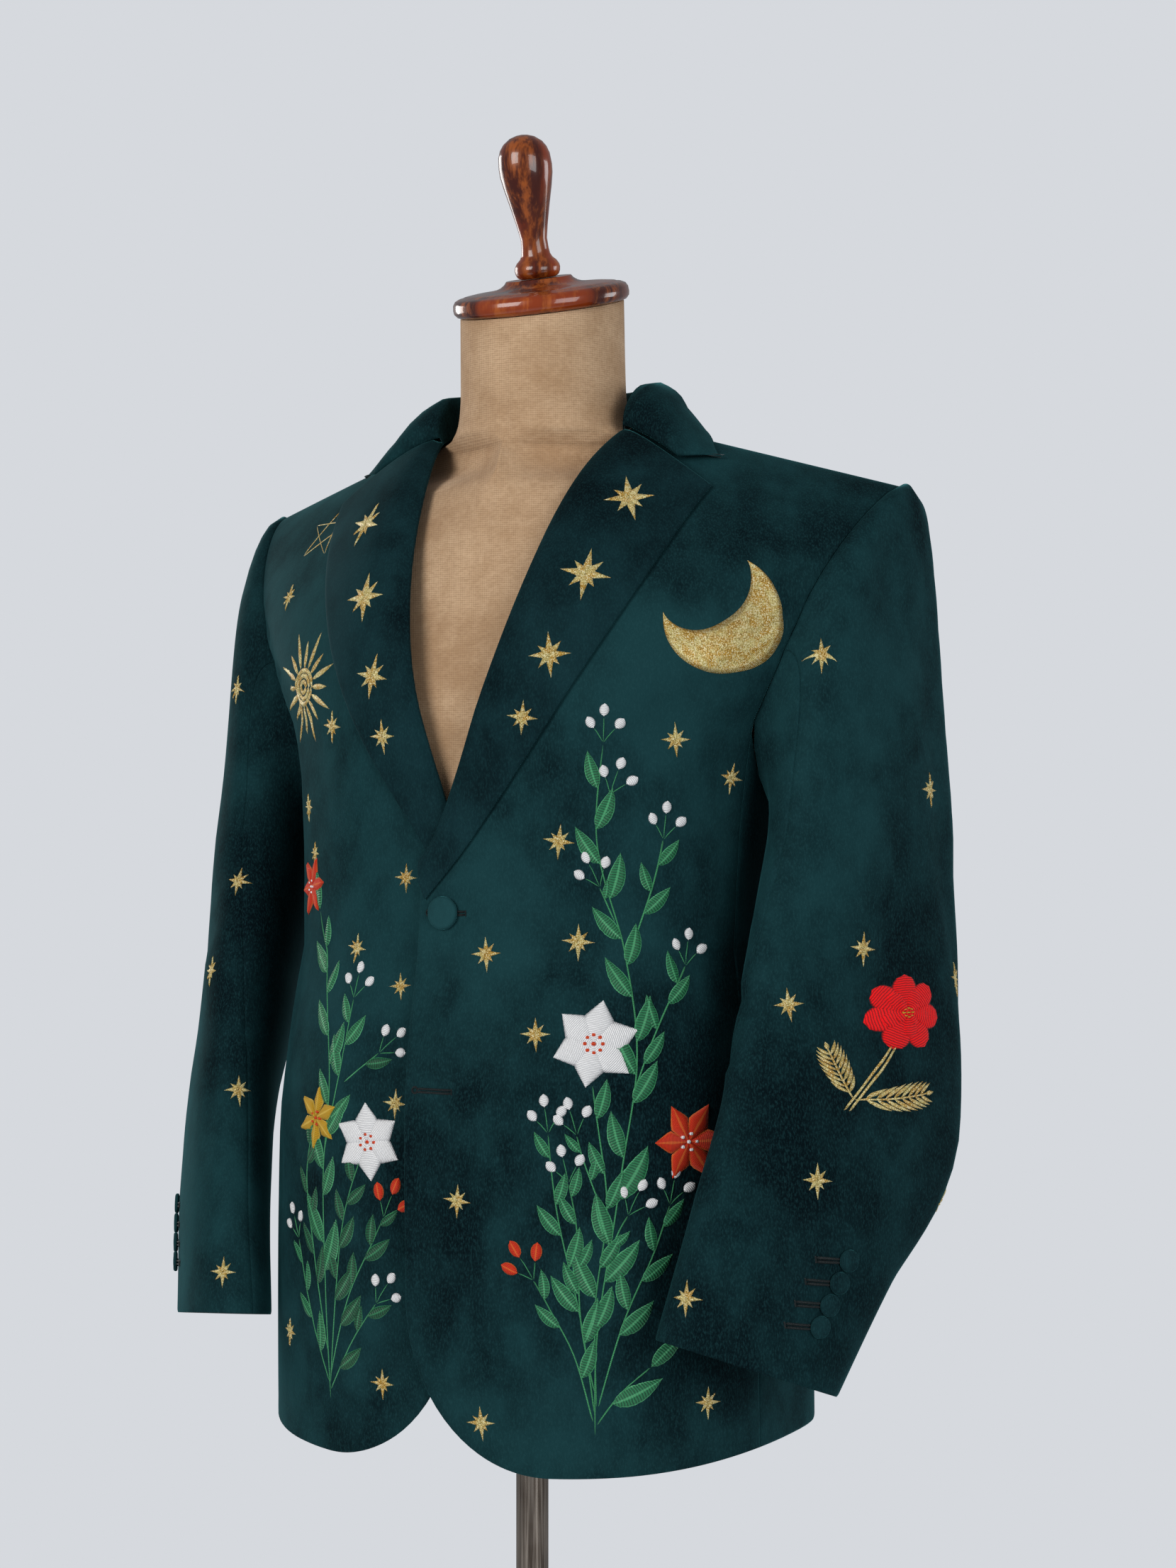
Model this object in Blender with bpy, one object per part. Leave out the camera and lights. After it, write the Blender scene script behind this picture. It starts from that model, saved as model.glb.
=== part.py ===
"""A man's western suit jacket on a dress form.

Metres, +Z up, origin at the centre of the base's underside. The jacket's front faces -Y and the wearer's left is +X.
Every panel is a grid laid on one body surface, given a wall, and parted from its neighbours by a seam gap.
"""
import bpy
import bmesh
from collections import namedtuple
from math import asin, copysign, cos, exp, pi, radians, sin, sqrt
from mathutils import Vector

WALL = 0.0016            # velvet, interlining and lining together
GAP = 0.0003             # between pieces that meet or lie on each other
HOLD_BACK = 0.00026      # each side of a seam, so that curved walls keep the gap between their inner edges too
STEP = 1e-4              # small step for slopes, as a share of a panel

HEM = 0.752              # heights above the floor
CHEST = 1.260
SHOULDER_TIP = (0.252, 1.433)
SHOULDER_SET_BACK = 0.26  # how fast the shoulder line runs back as it goes out
NECK_POINT = (0.080, 1.480)
CORNER = (0.105, 0.115)  # width and height of the rounded front corner
EDGE_PAST_CENTRE = 0.018
SIDE_FRONT_SEAM = radians(77)
SIDE_BACK_SEAM = radians(111)
TOP_SECTION = 0.300      # half width of the section that the shoulder lines are cut from
SQUARENESS = 2.3
FRONT_ROUND, BACK_ROUND = 1.55, 2.2
NECK_BACK = 0.066        # the back neck, behind the shoulder line

POLE_RADIUS = 0.01175
BASE_RADIUS, BASE_HEIGHT = 0.190, 0.014
FORM_BOTTOM = 0.860
NECK_TOP = Vector((0.0, 0.015, 1.568))
NECK_AXIS = Vector((0.0, -0.247, 0.969))
CAP_THICKNESS = 0.0225


class Table:
    """Named columns against a rising first column, joined by smooth curves that never overshoot a row."""

    def __init__(self, columns, *rows):
        self.row = namedtuple("Row", columns)
        self.rows = rows
        self.slopes = [self.column_slopes(c) for c in range(len(rows[0]))]

    def column_slopes(self, column):
        keys, values = [r[0] for r in self.rows], [r[column] for r in self.rows]
        steps = [(b - a) / (k - j) for a, b, j, k in zip(values, values[1:], keys, keys[1:])]
        inner = [0.0 if a * b <= 0 else 2 * a * b / (a + b) for a, b in zip(steps, steps[1:])]
        return [steps[0]] + inner + [steps[-1]]

    def at(self, key):
        key = min(max(key, self.rows[0][0]), self.rows[-1][0])
        i = max(j for j, r in enumerate(self.rows[:-1]) if key >= r[0] or j == 0)
        low, high = self.rows[i], self.rows[i + 1]
        span = high[0] - low[0]
        f = (key - low[0]) / span
        values = []
        for column, slopes in enumerate(self.slopes):
            start, end = low[column], high[column]
            rise = f * f * (3 - 2 * f)
            bend = f * (1 - f) * ((1 - f) * slopes[i] - f * slopes[i + 1]) * span
            values.append(start + (end - start) * rise + bend)
        return self.row(*values)


BODY = Table("level half_width middle front back",
             (0.752, 0.198, 0.020, 0.165, 0.160),
             (0.870, 0.197, 0.020, 0.168, 0.158),
             (0.970, 0.194, 0.019, 0.169, 0.150),
             (1.030, 0.187, 0.018, 0.164, 0.144),
             (1.120, 0.178, 0.018, 0.148, 0.138),
             (1.180, 0.180, 0.019, 0.145, 0.138),
             (1.260, 0.189, 0.021, 0.145, 0.140))

ARMHOLE = Table("round turn level",
                (0, 58.0, 1.480), (35, 59.0, 1.447), (70, 62.2, 1.388), (105, 69.0, 1.322), (135, 77.0, 1.256),
                (160, 84.5, 1.219), (180, 92.5, 1.207), (200, 101.5, 1.216), (225, 111.0, 1.252),
                (255, 115.5, 1.317), (290, 119.0, 1.385), (325, 121.2, 1.447), (360, 122.0, 1.480))

ROLL_LINE = Table("height x",
                  (1.165, -EDGE_PAST_CENTRE), (1.181, -0.006), (1.220, 0.010), (1.270, 0.026), (1.313, 0.038),
                  (1.360, 0.049), (1.440, 0.066), (1.480, 0.080))

LAPEL = Table("along roll_height edge_x edge_height puff",
              (0.00, 1.150, -0.0130, 1.140, 0.0000), (0.12, 1.185, 0.0180, 1.176, 0.0008),
              (0.35, 1.262, 0.0680, 1.248, 0.0030), (0.60, 1.350, 0.1100, 1.320, 0.0045),
              (0.80, 1.414, 0.1350, 1.376, 0.0050), (1.00, 1.4713, 0.1520, 1.4275, 0.0050))
GORGE_HEIGHT = 1.472
TURNED_LIE = 0.0026      # a turned-back piece's outer face, above the cloth it lies on
ROLL_SHARE = 0.25        # share of a turned-back piece's grid that goes round the roll or up the stand
NOTCH = (0.1235, 1.4462)
COLLAR_TIP = (0.149, 1.4500)
COLLAR = Table("along edge_x edge_y stand puff",
               (0.00, 0.145, -0.020, 0.002, 0.003), (0.25, 0.126, 0.0325, 0.026, 0.006),
               (0.50, 0.112, 0.070, 0.033, 0.006), (0.75, 0.068, 0.109, 0.035, 0.006),
               (1.00, 0.000, 0.124, 0.036, 0.006))
COLLAR_FRONT = 0.25      # share of the collar's half that lies ahead of the shoulder seam

ARM = Table("along x y height length thickness heading",
            (0.00, 0.246, 0.030, 1.172, 0.163, 0.082, 20), (0.30, 0.249, 0.007, 1.070, 0.187, 0.072, 26),
            (0.50, 0.251, -0.013, 1.000, 0.190, 0.068, 31), (0.75, 0.233, -0.055, 0.915, 0.156, 0.066, 39),
            (1.00, 0.2115, -0.087, 0.830, 0.132, 0.064, 45))
CAP_SHARE = 0.38         # share of the sleeve's length above the first free ring
HEM_LEVEL_LEFT, HEM_LEVEL_RIGHT = 0.005, 0.016   # how far the cuff's front is let down, so that it hangs level
SLEEVE_FRONT_SEAM, SLEEVE_BACK_SEAM = 105, 255
RING_TURN = 24           # degrees by which the top rings turn against the rings further down
LEAVE_FRONT = 0.040      # how much more sideways the sleeve leaves the front and back of the armhole than its top

# Soft troughs (depth above 0) and ridges (below 0): where they lie, how they run, how long, wide and deep they are.
Fold = namedtuple("Fold", "turn level slant length width depth")
BODY_FOLDS = [
    Fold(57, 1.300, 38, 0.060, 0.013, 0.0040), Fold(50, 1.262, 30, 0.070, 0.014, 0.0030),
    Fold(62, 1.220, 20, 0.050, 0.012, 0.0025), Fold(30, 1.100, -12, 0.060, 0.016, 0.0015),
    Fold(120, 1.150, 15, 0.070, 0.020, 0.0030), Fold(140, 1.090, -10, 0.080, 0.018, 0.0025)]
SleeveFold = namedtuple("SleeveFold", "round along slant length width depth")
SLEEVE_FOLDS = [
    SleeveFold(30, 0.16, 80, 0.050, 0.014, 0.0050), SleeveFold(60, 0.52, 25, 0.060, 0.014, 0.0030),
    SleeveFold(100, 0.60, 15, 0.050, 0.012, 0.0035), SleeveFold(190, 0.58, -20, 0.060, 0.014, 0.0030),
    SleeveFold(300, 0.45, 70, 0.120, 0.016, 0.0030)]

UPPER_BUTTON = (0.0107, 0.0046)   # radius and height
LOWER_BUTTON = (0.0107, 0.0036)   # lower, to lie between the crossed fronts
CUFF_BUTTON = (0.0075, 0.0034)
BUTTON_ACROSS, UPPER_BUTTON_HEIGHT, LOWER_BUTTON_HEIGHT = 0.002, 1.131, 1.011
CUFF_BUTTON_STEP, CUFF_BUTTON_RISE, CUFF_BUTTON_ROUND = 0.0153, 0.040, 342
SLEEVE_LENGTH = 0.58

FORM = Table("height half_width middle front back square tilt",
             (0.860, 0.160, 0.010, 0.120, 0.120, 2.2, 0.0), (0.900, 0.172, 0.010, 0.134, 0.128, 2.2, 0.0),
             (0.980, 0.172, 0.010, 0.138, 0.124, 2.2, 0.0), (1.110, 0.154, 0.013, 0.120, 0.118, 2.2, 0.0),
             (1.200, 0.162, 0.018, 0.126, 0.120, 2.2, 0.0), (1.270, 0.170, 0.022, 0.129, 0.120, 2.2, 0.0),
             (1.330, 0.172, 0.026, 0.118, 0.114, 2.1, 0.0), (1.390, 0.173, 0.032, 0.108, 0.100, 1.7, 0.0),
             (1.430, 0.173, 0.035, 0.095, 0.076, 1.3, 0.0), (1.4516, 0.170, 0.0420, 0.093, 0.058, 0.80, 0.0),
             (1.4630, 0.128, 0.0300, 0.075, 0.054, 0.85, 0.0), (1.4700, 0.0985, 0.0225, 0.064, 0.050, 1.0, 0.0),
             (1.4720, 0.0715, 0.0200, 0.061, 0.048, 2.0, 0.0), (1.4890, 0.0640, 0.0180, 0.058, 0.052, 2.0, 0.08),
             (1.5100, 0.0610, 0.0165, 0.059, 0.059, 2.0, 0.15), (1.5680, 0.0600, 0.0150, 0.060, 0.060, 2.0, 0.255))


def smooth(low, high, value):
    f = min(max((value - low) / (high - low), 0.0), 1.0)
    return f * f * (3 - 2 * f)


def dome(share, roundness):
    return max(1 - min(max(share, 0.0), 1.0) ** roundness, 0.0) ** (1 / roundness)


def shoulder_height(x):
    slope = (NECK_POINT[1] - SHOULDER_TIP[1]) / (SHOULDER_TIP[0] - NECK_POINT[0])
    return SHOULDER_TIP[1] + slope * (SHOULDER_TIP[0] - abs(x))


def above_chest(level):
    return (level - CHEST) / (NECK_POINT[1] - CHEST)


def half_width(level):
    if level <= CHEST:
        return BODY.at(level).half_width
    return BODY.at(CHEST).half_width + (TOP_SECTION - BODY.at(CHEST).half_width) * above_chest(level) ** 0.9


def plain_body(turn, level):
    """The body surface: turn runs from the front centre (0) round the wearer's left to the back centre (pi)."""
    across, forward = sin(turn), cos(turn)
    x = half_width(level) * copysign(abs(across) ** (2 / SQUARENESS), across)
    row = BODY.at(level)
    depth, roundness = (row.front, FRONT_ROUND) if forward > 0 else (row.back, BACK_ROUND)
    depth *= copysign(abs(forward) ** (2 / SQUARENESS), forward)
    if level <= CHEST:
        lift = (1 - smooth(HEM, HEM + 0.15, level)) * 0.012 * abs(across) ** 4
        return Vector((x, row.middle - depth, level + lift))
    share = above_chest(level)
    middle = row.middle + SHOULDER_SET_BACK * max(abs(x) - NECK_POINT[0], 0.0) * share
    height = CHEST + (shoulder_height(x) - CHEST) * share
    return Vector((x, middle - depth * dome(share, roundness), height))


def fold_depth(folds, across, up):
    """Depth of the folds at a place: across and up are metres from each fold's middle, given by functions."""
    total = 0.0
    for fold in folds:
        dx, dz = across(fold), up(fold)
        run = dx * cos(radians(fold.slant)) + dz * sin(radians(fold.slant))
        side = dz * cos(radians(fold.slant)) - dx * sin(radians(fold.slant))
        total += fold.depth * exp(-(run / fold.length) ** 2 * 2 - (side / fold.width) ** 2 * 2)
    return total


def held(share):
    return min(max(share, 0.0), 1.0)


def normal_of(place, u, v):
    across = place(u + STEP, v) - place(u - STEP, v)
    along = place(u, v + STEP) - place(u, v - STEP)
    return across.cross(along).normalized()


def body(turn, level, inward=0.0):
    depth = inward + fold_depth(BODY_FOLDS, lambda f: (turn - radians(f.turn)) * 0.18, lambda f: level - f.level)
    if depth < 1e-6:
        return plain_body(turn, level)
    return plain_body(turn, level) - normal_of(plain_body, turn, level) * depth


def turn_at(x, level):
    share = min(abs(x) / half_width(level), 1.0)
    return copysign(asin(share ** (SQUARENESS / 2)), x)


def level_at(x, height):
    if height <= CHEST:
        return height
    share = (height - CHEST) / (shoulder_height(x) - CHEST)
    return CHEST + min(share, 1.0) * (NECK_POINT[1] - CHEST)


def on_front(x, height, inward=0.0):
    level = level_at(x, height)
    return body(turn_at(x, level), level, inward)


def front_normal(x, height):
    """The cloth's outward direction on the front."""
    step = 0.0004
    across = on_front(x + step, height) - on_front(x - step, height)
    return across.cross(on_front(x, height) - on_front(x, height - 2 * step)).normalized()


def armhole(round_degrees):
    row = ARMHOLE.at(round_degrees % 360)
    return body(radians(row.turn), row.level)


def side_flip(place, side):
    """The same place function for the wearer's left (side 1) or, mirrored, for the right (side -1)."""
    if side > 0:
        return place

    def mirrored(u, v):
        point = place(1 - u, v)
        return Vector((-point.x, point.y, point.z))
    return mirrored


def tuck(x, level):
    """How far the right front lies under the left one near the centre."""
    near = 1 - smooth(0.022, 0.080, x)
    depth = 0.0070 + 0.0008 * smooth(1.100, 1.060, level)
    low = 1 - 0.45 * smooth(0.95, HEM, level) if level < 0.95 else 1.0
    return near * depth * low * (1 - smooth(1.195, 1.310, level))


def front_place(under):
    corner_v, arm_v = 0.20, 0.55

    def place(u, v):
        if v < arm_v:
            outer = SIDE_FRONT_SEAM
            if v < corner_v:
                level = HEM + CORNER[1] * (1 - cos(v / corner_v * pi / 2))
            else:
                level = HEM + CORNER[1] + (ARMHOLE.at(135).level - HEM - CORNER[1]) * (v - corner_v) / (arm_v - corner_v)
        else:
            row = ARMHOLE.at(135 * (1 - (v - arm_v) / (1 - arm_v)))
            outer, level = radians(row.turn), row.level
        if level < HEM + CORNER[1]:
            drop = min((HEM + CORNER[1] - level) / CORNER[1], 1.0)
            inner = -EDGE_PAST_CENTRE + CORNER[0] * (1 - sqrt(1 - drop * drop))
        else:
            inner = roll_x(level)
        start = turn_at(inner, level)
        turn = start + (outer - start) * u
        x = plain_body(turn, level).x
        return body(turn, level, tuck(x, level) if under else 0.0)
    return place


def roll_x(level):
    """The roll line's place across at a level: heights follow from the place itself, so it is found in steps."""
    if level <= CHEST:
        return ROLL_LINE.at(level).x
    x = NECK_POINT[0]
    for _ in range(6):
        x = ROLL_LINE.at(CHEST + (shoulder_height(x) - CHEST) * above_chest(level)).x
    return x


def side_place(u, v):
    row = ARMHOLE.at(135 + 90 * u)
    return body(radians(row.turn) if v > 0.999 else SIDE_FRONT_SEAM + (SIDE_BACK_SEAM - SIDE_FRONT_SEAM) * u
                + (radians(row.turn) - SIDE_FRONT_SEAM - (SIDE_BACK_SEAM - SIDE_FRONT_SEAM) * u) * v ** 3,
                HEM + (row.level - HEM) * v)


def neck_edge(angle):
    """The neck seam in plan: angle 0 at the shoulder seam, 90 at the back centre."""
    behind = NECK_BACK if angle > 0 else 0.030
    return NECK_POINT[0] * cos(radians(max(angle, 0.0))), 0.020 + behind * sin(radians(angle))


def on_plan(x, y):
    """The body surface under a place in plan, near the neck."""
    level = NECK_POINT[1]
    for _ in range(8):
        row = BODY.at(CHEST)
        share = above_chest(level)
        middle = row.middle + SHOULDER_SET_BACK * max(abs(x) - NECK_POINT[0], 0.0) * share
        depth, roundness = (row.front, FRONT_ROUND) if y < middle else (row.back, BACK_ROUND)
        section = max(1 - (abs(x) / half_width(level)) ** SQUARENESS, 0.0) ** (1 / SQUARENESS)
        reach = min(abs(y - middle) / (depth * section), 1.0)
        level = CHEST + (NECK_POINT[1] - CHEST) * dome(reach, roundness)
    return Vector((x, y, CHEST + (shoulder_height(x) - CHEST) * above_chest(level)))


def back_place(u, v):
    arm_v, neck_u = 0.5, 0.5
    if v < arm_v:
        turn = SIDE_BACK_SEAM + (pi - SIDE_BACK_SEAM) * u
        return body(turn, HEM + (ARMHOLE.at(225).level - HEM) * v / arm_v)
    share = (v - arm_v) / (1 - arm_v)
    row = ARMHOLE.at(225 + 135 * share)
    neck_turn = pi - asin((NECK_POINT[0] / TOP_SECTION) ** (SQUARENESS / 2))
    outer = radians(row.turn)
    if u < neck_u:
        top_turn, top_level = outer + (neck_turn - outer) * u / neck_u, NECK_POINT[1]
    else:
        x, y = neck_edge(90 * (u - neck_u) / (1 - neck_u))
        top = on_plan(x, y)
        top_level = level_at(x, top.z)
        top_turn = pi - turn_at(x, top_level)
    turn = outer + (pi - outer) * u
    turn += (top_turn - turn) * share
    base = ARMHOLE.at(225).level
    level = row.level + (top_level - NECK_POINT[1]) * ((row.level - base) / (NECK_POINT[1] - base))
    return body(turn, level)


def lapel_place(under):
    def place(u, v):
        row = LAPEL.at(v)
        x0 = ROLL_LINE.at(row.roll_height).x

        def path(s):
            x = x0 + (row.edge_x - x0) * s
            height = row.roll_height + (row.edge_height - row.roll_height) * s
            inward = tuck(x, level_at(x, height)) if under else 0.0
            return on_front(x, height, inward)

        def normal(s):
            x = x0 + (row.edge_x - x0) * s
            height = row.roll_height + (row.edge_height - row.roll_height) * s
            return front_normal(x, height)
        if u < ROLL_SHARE:
            f = u / ROLL_SHARE
            outward = (path(0.05) - path(0.0)).normalized()
            rise = -WALL + (TURNED_LIE + WALL) * f
            return path(0.0) + normal(0.0) * rise - outward * (WALL + 6 * GAP) * cos(f * f * pi / 2)
        s = (u - ROLL_SHARE) / (1 - ROLL_SHARE)
        puff = row.puff * (1 - (2 * min(s, 0.999) ** 0.6 - 1) ** 2)
        return path(s) + normal(s) * (TURNED_LIE + puff + (0.0012 if under else 0.0))
    return place


def collar_place(u, v):
    """v runs from the left notch (0) round the back of the neck (0.5) to the right notch (1)."""
    side = 1 if v <= 0.5 else -1
    along = v * 2 if v <= 0.5 else 2 - v * 2
    row = COLLAR.at(along)
    gorge, notch, tip = on_front(ROLL_LINE.at(GORGE_HEIGHT).x, GORGE_HEIGHT), on_front(*NOTCH), on_front(*COLLAR_TIP)
    x0, y0 = neck_edge(90 * max(along - COLLAR_FRONT, 0) / (1 - COLLAR_FRONT))
    front = max(1 - along / COLLAR_FRONT, 0)
    x0, y0 = x0 + (gorge.x - x0) * front, y0 + (gorge.y - y0) * front
    first = smooth(0.35, 0.0, along)

    def path(s):
        plain_x, plain_y = x0 + (row.edge_x - x0) * s, y0 + (row.edge_y - y0) * s
        if first > 0:
            start, end, f = (gorge, notch, s / 0.62) if s < 0.62 else (notch, tip, (s - 0.62) / 0.38)
            plain_x += (start.x + (end.x - start.x) * f - plain_x) * first
            plain_y += (start.y + (end.y - start.y) * f - plain_y) * first
        return on_plan(plain_x, plain_y)

    def normal(s):
        step, point = 0.0006, path(s)
        across = on_plan(point.x + step, point.y) - on_plan(point.x - step, point.y)
        return across.cross(on_plan(point.x, point.y + step) - on_plan(point.x, point.y - step)).normalized()
    outward = (path(0.1) - path(0.0)).normalized()
    outward.z *= 1 - smooth(0.0, COLLAR_FRONT, along)
    outward.normalize()
    upright = (Vector((0, 0, 1)) + outward * 0.10).normalized()
    lie = TURNED_LIE + 0.0012 * smooth(0.0, COLLAR_FRONT, along)
    stand_up = normal(0.0).lerp(upright, smooth(0.0, COLLAR_FRONT, along)).normalized()
    if u < ROLL_SHARE:
        f = u / ROLL_SHARE
        inside = WALL + 3 * GAP + 0.0016 * smooth(0.0, COLLAR_FRONT, along)
        point = path(0.0) - outward * inside * (1 - 0.3 * f * f) + stand_up * (row.stand + lie + WALL) * f
        point = point - stand_up * WALL
    else:
        s = (u - ROLL_SHARE) / (1 - ROLL_SHARE)
        height = lie + row.stand * (1 - s) ** 1.25 + row.puff * 4 * s * (1 - s) * (1 - 0.35 * s)
        leaning = stand_up.lerp(normal(s), s).normalized()
        point = path(s) + leaning * height + outward * 0.004 * sin(pi * min(s * 2, 1)) * (row.stand > 0.01)
    return Vector((point.x * side, point.y, point.z))


def arm_axes(along):
    """The sleeve's centre at a place, its direction down the arm, and the directions of its front and outer side."""
    row, ahead, behind = ARM.at(along), ARM.at(min(along + 0.02, 1)), ARM.at(max(along - 0.02, 0))
    centre = Vector((row.x, row.y, row.height))
    down = Vector((ahead.x - behind.x, ahead.y - behind.y, ahead.height - behind.height)).normalized()
    heading = Vector((-sin(radians(row.heading)), -cos(radians(row.heading)), 0))
    forward = (heading - down * heading.dot(down)).normalized()
    return row, centre, down, forward, forward.cross(down)


def ring(round_degrees, along, hem_level=0.0):
    row, centre, down, forward, outer = arm_axes(along)
    across, ahead = cos(radians(round_degrees)), sin(radians(round_degrees))
    across = copysign(abs(across) ** 0.9, across)
    ahead = copysign(abs(ahead) ** 0.9, ahead)
    point = centre + outer * across * row.thickness / 2 + forward * ahead * row.length / 2
    return point + down * hem_level * ahead * smooth(0.70, 1.0, along)


def turned_ring(round_degrees, down):
    return round_degrees - RING_TURN * sin(radians(round_degrees)) * smooth(0.7, -0.1, down)


def plain_sleeve(round_degrees, along, hem_level=0.0):
    if along >= CAP_SHARE:
        down = (along - CAP_SHARE) / (1 - CAP_SHARE)
        return ring(turned_ring(round_degrees, down), down, hem_level)
    f = max(along, 0.0) / CAP_SHARE
    start = armhole(round_degrees) + Vector((GAP * 3, 0, 0))
    end = ring(turned_ring(round_degrees, 0), 0)
    under = (1 - cos(radians(round_degrees))) / 2
    centre = Vector((start.x, 0.036, 1.320))
    radial = (start - centre).normalized()
    leave = Vector((1, 0, 0)) * (0.060 * (1 - under) + 0.020 + LEAVE_FRONT * sin(radians(round_degrees)) ** 2)
    leave += radial * (0.018 + 0.040 * (1 - 2 * under) ** 2)
    arrive = arm_axes(0)[2] * (0.30 * (1 - under) + 0.05)
    h0, h1 = 2 * f ** 3 - 3 * f ** 2 + 1, -2 * f ** 3 + 3 * f ** 2
    g0, g1 = f ** 3 - 2 * f ** 2 + f, f ** 3 - f ** 2
    return start * h0 + end * h1 + leave * g0 + arrive * g1


def sleeve(round_degrees, along, hem_level=0.0):
    def near(f):
        return ((round_degrees - f.round + 180) % 360 - 180) * 0.0011
    fade = smooth(0.02, 0.12, along) * smooth(1.0, 0.9, along)
    depth = fold_depth(SLEEVE_FOLDS, near, lambda f: (f.along - along) * 0.62) * fade
    point = plain_sleeve(round_degrees, along, hem_level)
    if depth < 1e-6:
        return point
    across = plain_sleeve(round_degrees + 0.5, along) - plain_sleeve(round_degrees - 0.5, along)
    down = plain_sleeve(round_degrees, along + 0.002) - plain_sleeve(round_degrees, along - 0.002)
    return point - across.cross(down).normalized() * depth


def sleeve_place(start, end, hem_level):
    def place(u, v):
        return sleeve(start + (end - start) * u, v, hem_level)
    return place


def material(name, colour, roughness, metallic=0.0):
    made = bpy.data.materials.new(name)
    made.use_nodes = True
    shader = made.node_tree.nodes["Principled BSDF"]
    shader.inputs["Base Color"].default_value = (*colour, 1)
    shader.inputs["Roughness"].default_value = roughness
    shader.inputs["Metallic"].default_value = metallic
    return made


def add(name, mesh, finish):
    data = bpy.data.meshes.new(name)
    bmesh.ops.recalc_face_normals(mesh, faces=mesh.faces)
    if mesh.calc_volume(signed=True) < 0:
        bmesh.ops.reverse_faces(mesh, faces=mesh.faces)
    mesh.to_mesh(data)
    mesh.free()
    data.materials.append(finish)
    data.shade_smooth()
    data.set_sharp_from_angle(angle=radians(40))
    piece = bpy.data.objects.new(name, data)
    bpy.context.collection.objects.link(piece)
    return piece


def cloth(name, place, across, along, finish, seams="", wall=WALL, centre=0):
    """A grid laid on a surface, with a wall inside it. The seams are the sides (of u0 u1 v0 v1) held back by half a gap.

    A panel with a seam on the centre plane gives the side of it that the panel lies on, 1 or -1.
    """
    mesh = bmesh.new()
    bmesh.ops.create_grid(mesh, x_segments=across, y_segments=along, size=0.5)
    outer = mesh.verts[:]
    copy = bmesh.ops.duplicate(mesh, geom=mesh.verts[:] + mesh.edges[:] + mesh.faces[:])
    bmesh.ops.reverse_faces(mesh, faces=[f for f in copy["geom"] if isinstance(f, bmesh.types.BMFace)])
    for vertex in outer:
        twin = copy["vert_map"][vertex]
        u, v = vertex.co.x + 0.5, vertex.co.y + 0.5
        point = place(u, v)
        normal = normal_of(place, min(max(u, STEP), 1 - STEP), min(max(v, STEP), 1 - STEP))
        for seam, at_seam, beside in (("u0", u < STEP, (0.01, 0)), ("u1", u > 1 - STEP, (-0.01, 0)),
                                      ("v0", v < STEP, (0, 0.01)), ("v1", v > 1 - STEP, (0, -0.01))):
            if at_seam and seam in seams:
                back = place(u + beside[0], v + beside[1]) - place(u, v)
                run = (place(held(u + beside[1]), held(v + beside[0]))
                       - place(held(u - beside[1]), held(v - beside[0])))
                point = point + (back - back.project(run)).normalized() * HOLD_BACK
        vertex.co, twin.co = point, point - normal * wall
        if centre and (u > 1 - STEP if centre > 0 else u < STEP):
            vertex.co.x = twin.co.x = centre * GAP * 0.6
    bmesh.ops.bridge_loops(mesh, edges=[e for e in mesh.edges if e.is_boundary])
    return add(name, mesh, finish)


def turned(name, outline, finish, steps, origin=Vector((0, 0, 0)), axis=Vector((0, 0, 1))):
    """A closed body turned from (radius, height) points about an axis."""
    mesh = bmesh.new()
    loop = [mesh.verts.new((radius, 0, height)) for radius, height in outline]
    edges = [mesh.edges.new(pair) for pair in zip(loop, loop[1:])]
    if outline[0][0] > 0:
        edges.append(mesh.edges.new((loop[-1], loop[0])))
    bmesh.ops.spin(mesh, geom=loop + edges, cent=(0, 0, 0), axis=(0, 0, 1), angle=2 * pi, steps=steps, use_merge=True)
    bmesh.ops.remove_doubles(mesh, verts=mesh.verts, dist=1e-6)
    turn = Vector((0, 0, 1)).rotation_difference(axis.normalized()).to_matrix().to_4x4()
    bmesh.ops.transform(mesh, matrix=turn, verts=mesh.verts)
    bmesh.ops.translate(mesh, vec=origin, verts=mesh.verts)
    return add(name, mesh, finish)


def domed(radius, height):
    """The outline of a covered button: a flat back, a round edge and a gently domed face."""
    return [(0, 0), (radius * 0.82, 0), (radius, height * 0.30), (radius * 0.97, height * 0.62),
            (radius * 0.80, height * 0.88), (radius * 0.45, height), (0, height)]


def make_fronts(velvet):
    for word, side in (("left", 1), ("right", -1)):
        under = side < 0
        seams = "u1 v1" if side > 0 else "u0 v1"
        cloth(f"front_{word}", side_flip(front_place(under), side), 10, 20, velvet, seams)
        cloth(f"side_{word}", side_flip(side_place, side), 6, 12, velvet, "u0 u1")
        cloth(f"back_{word}", side_flip(back_place, side), 12, 18, velvet,
              "u0 v1" if side > 0 else "u1 v1", centre=side)
        cloth(f"lapel_{word}", side_flip(lapel_place(under), side), 12, 14, velvet, "v1", 0.0014)
    cloth("collar", collar_place, 12, 16, velvet, "v0 v1", 0.0014)


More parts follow.
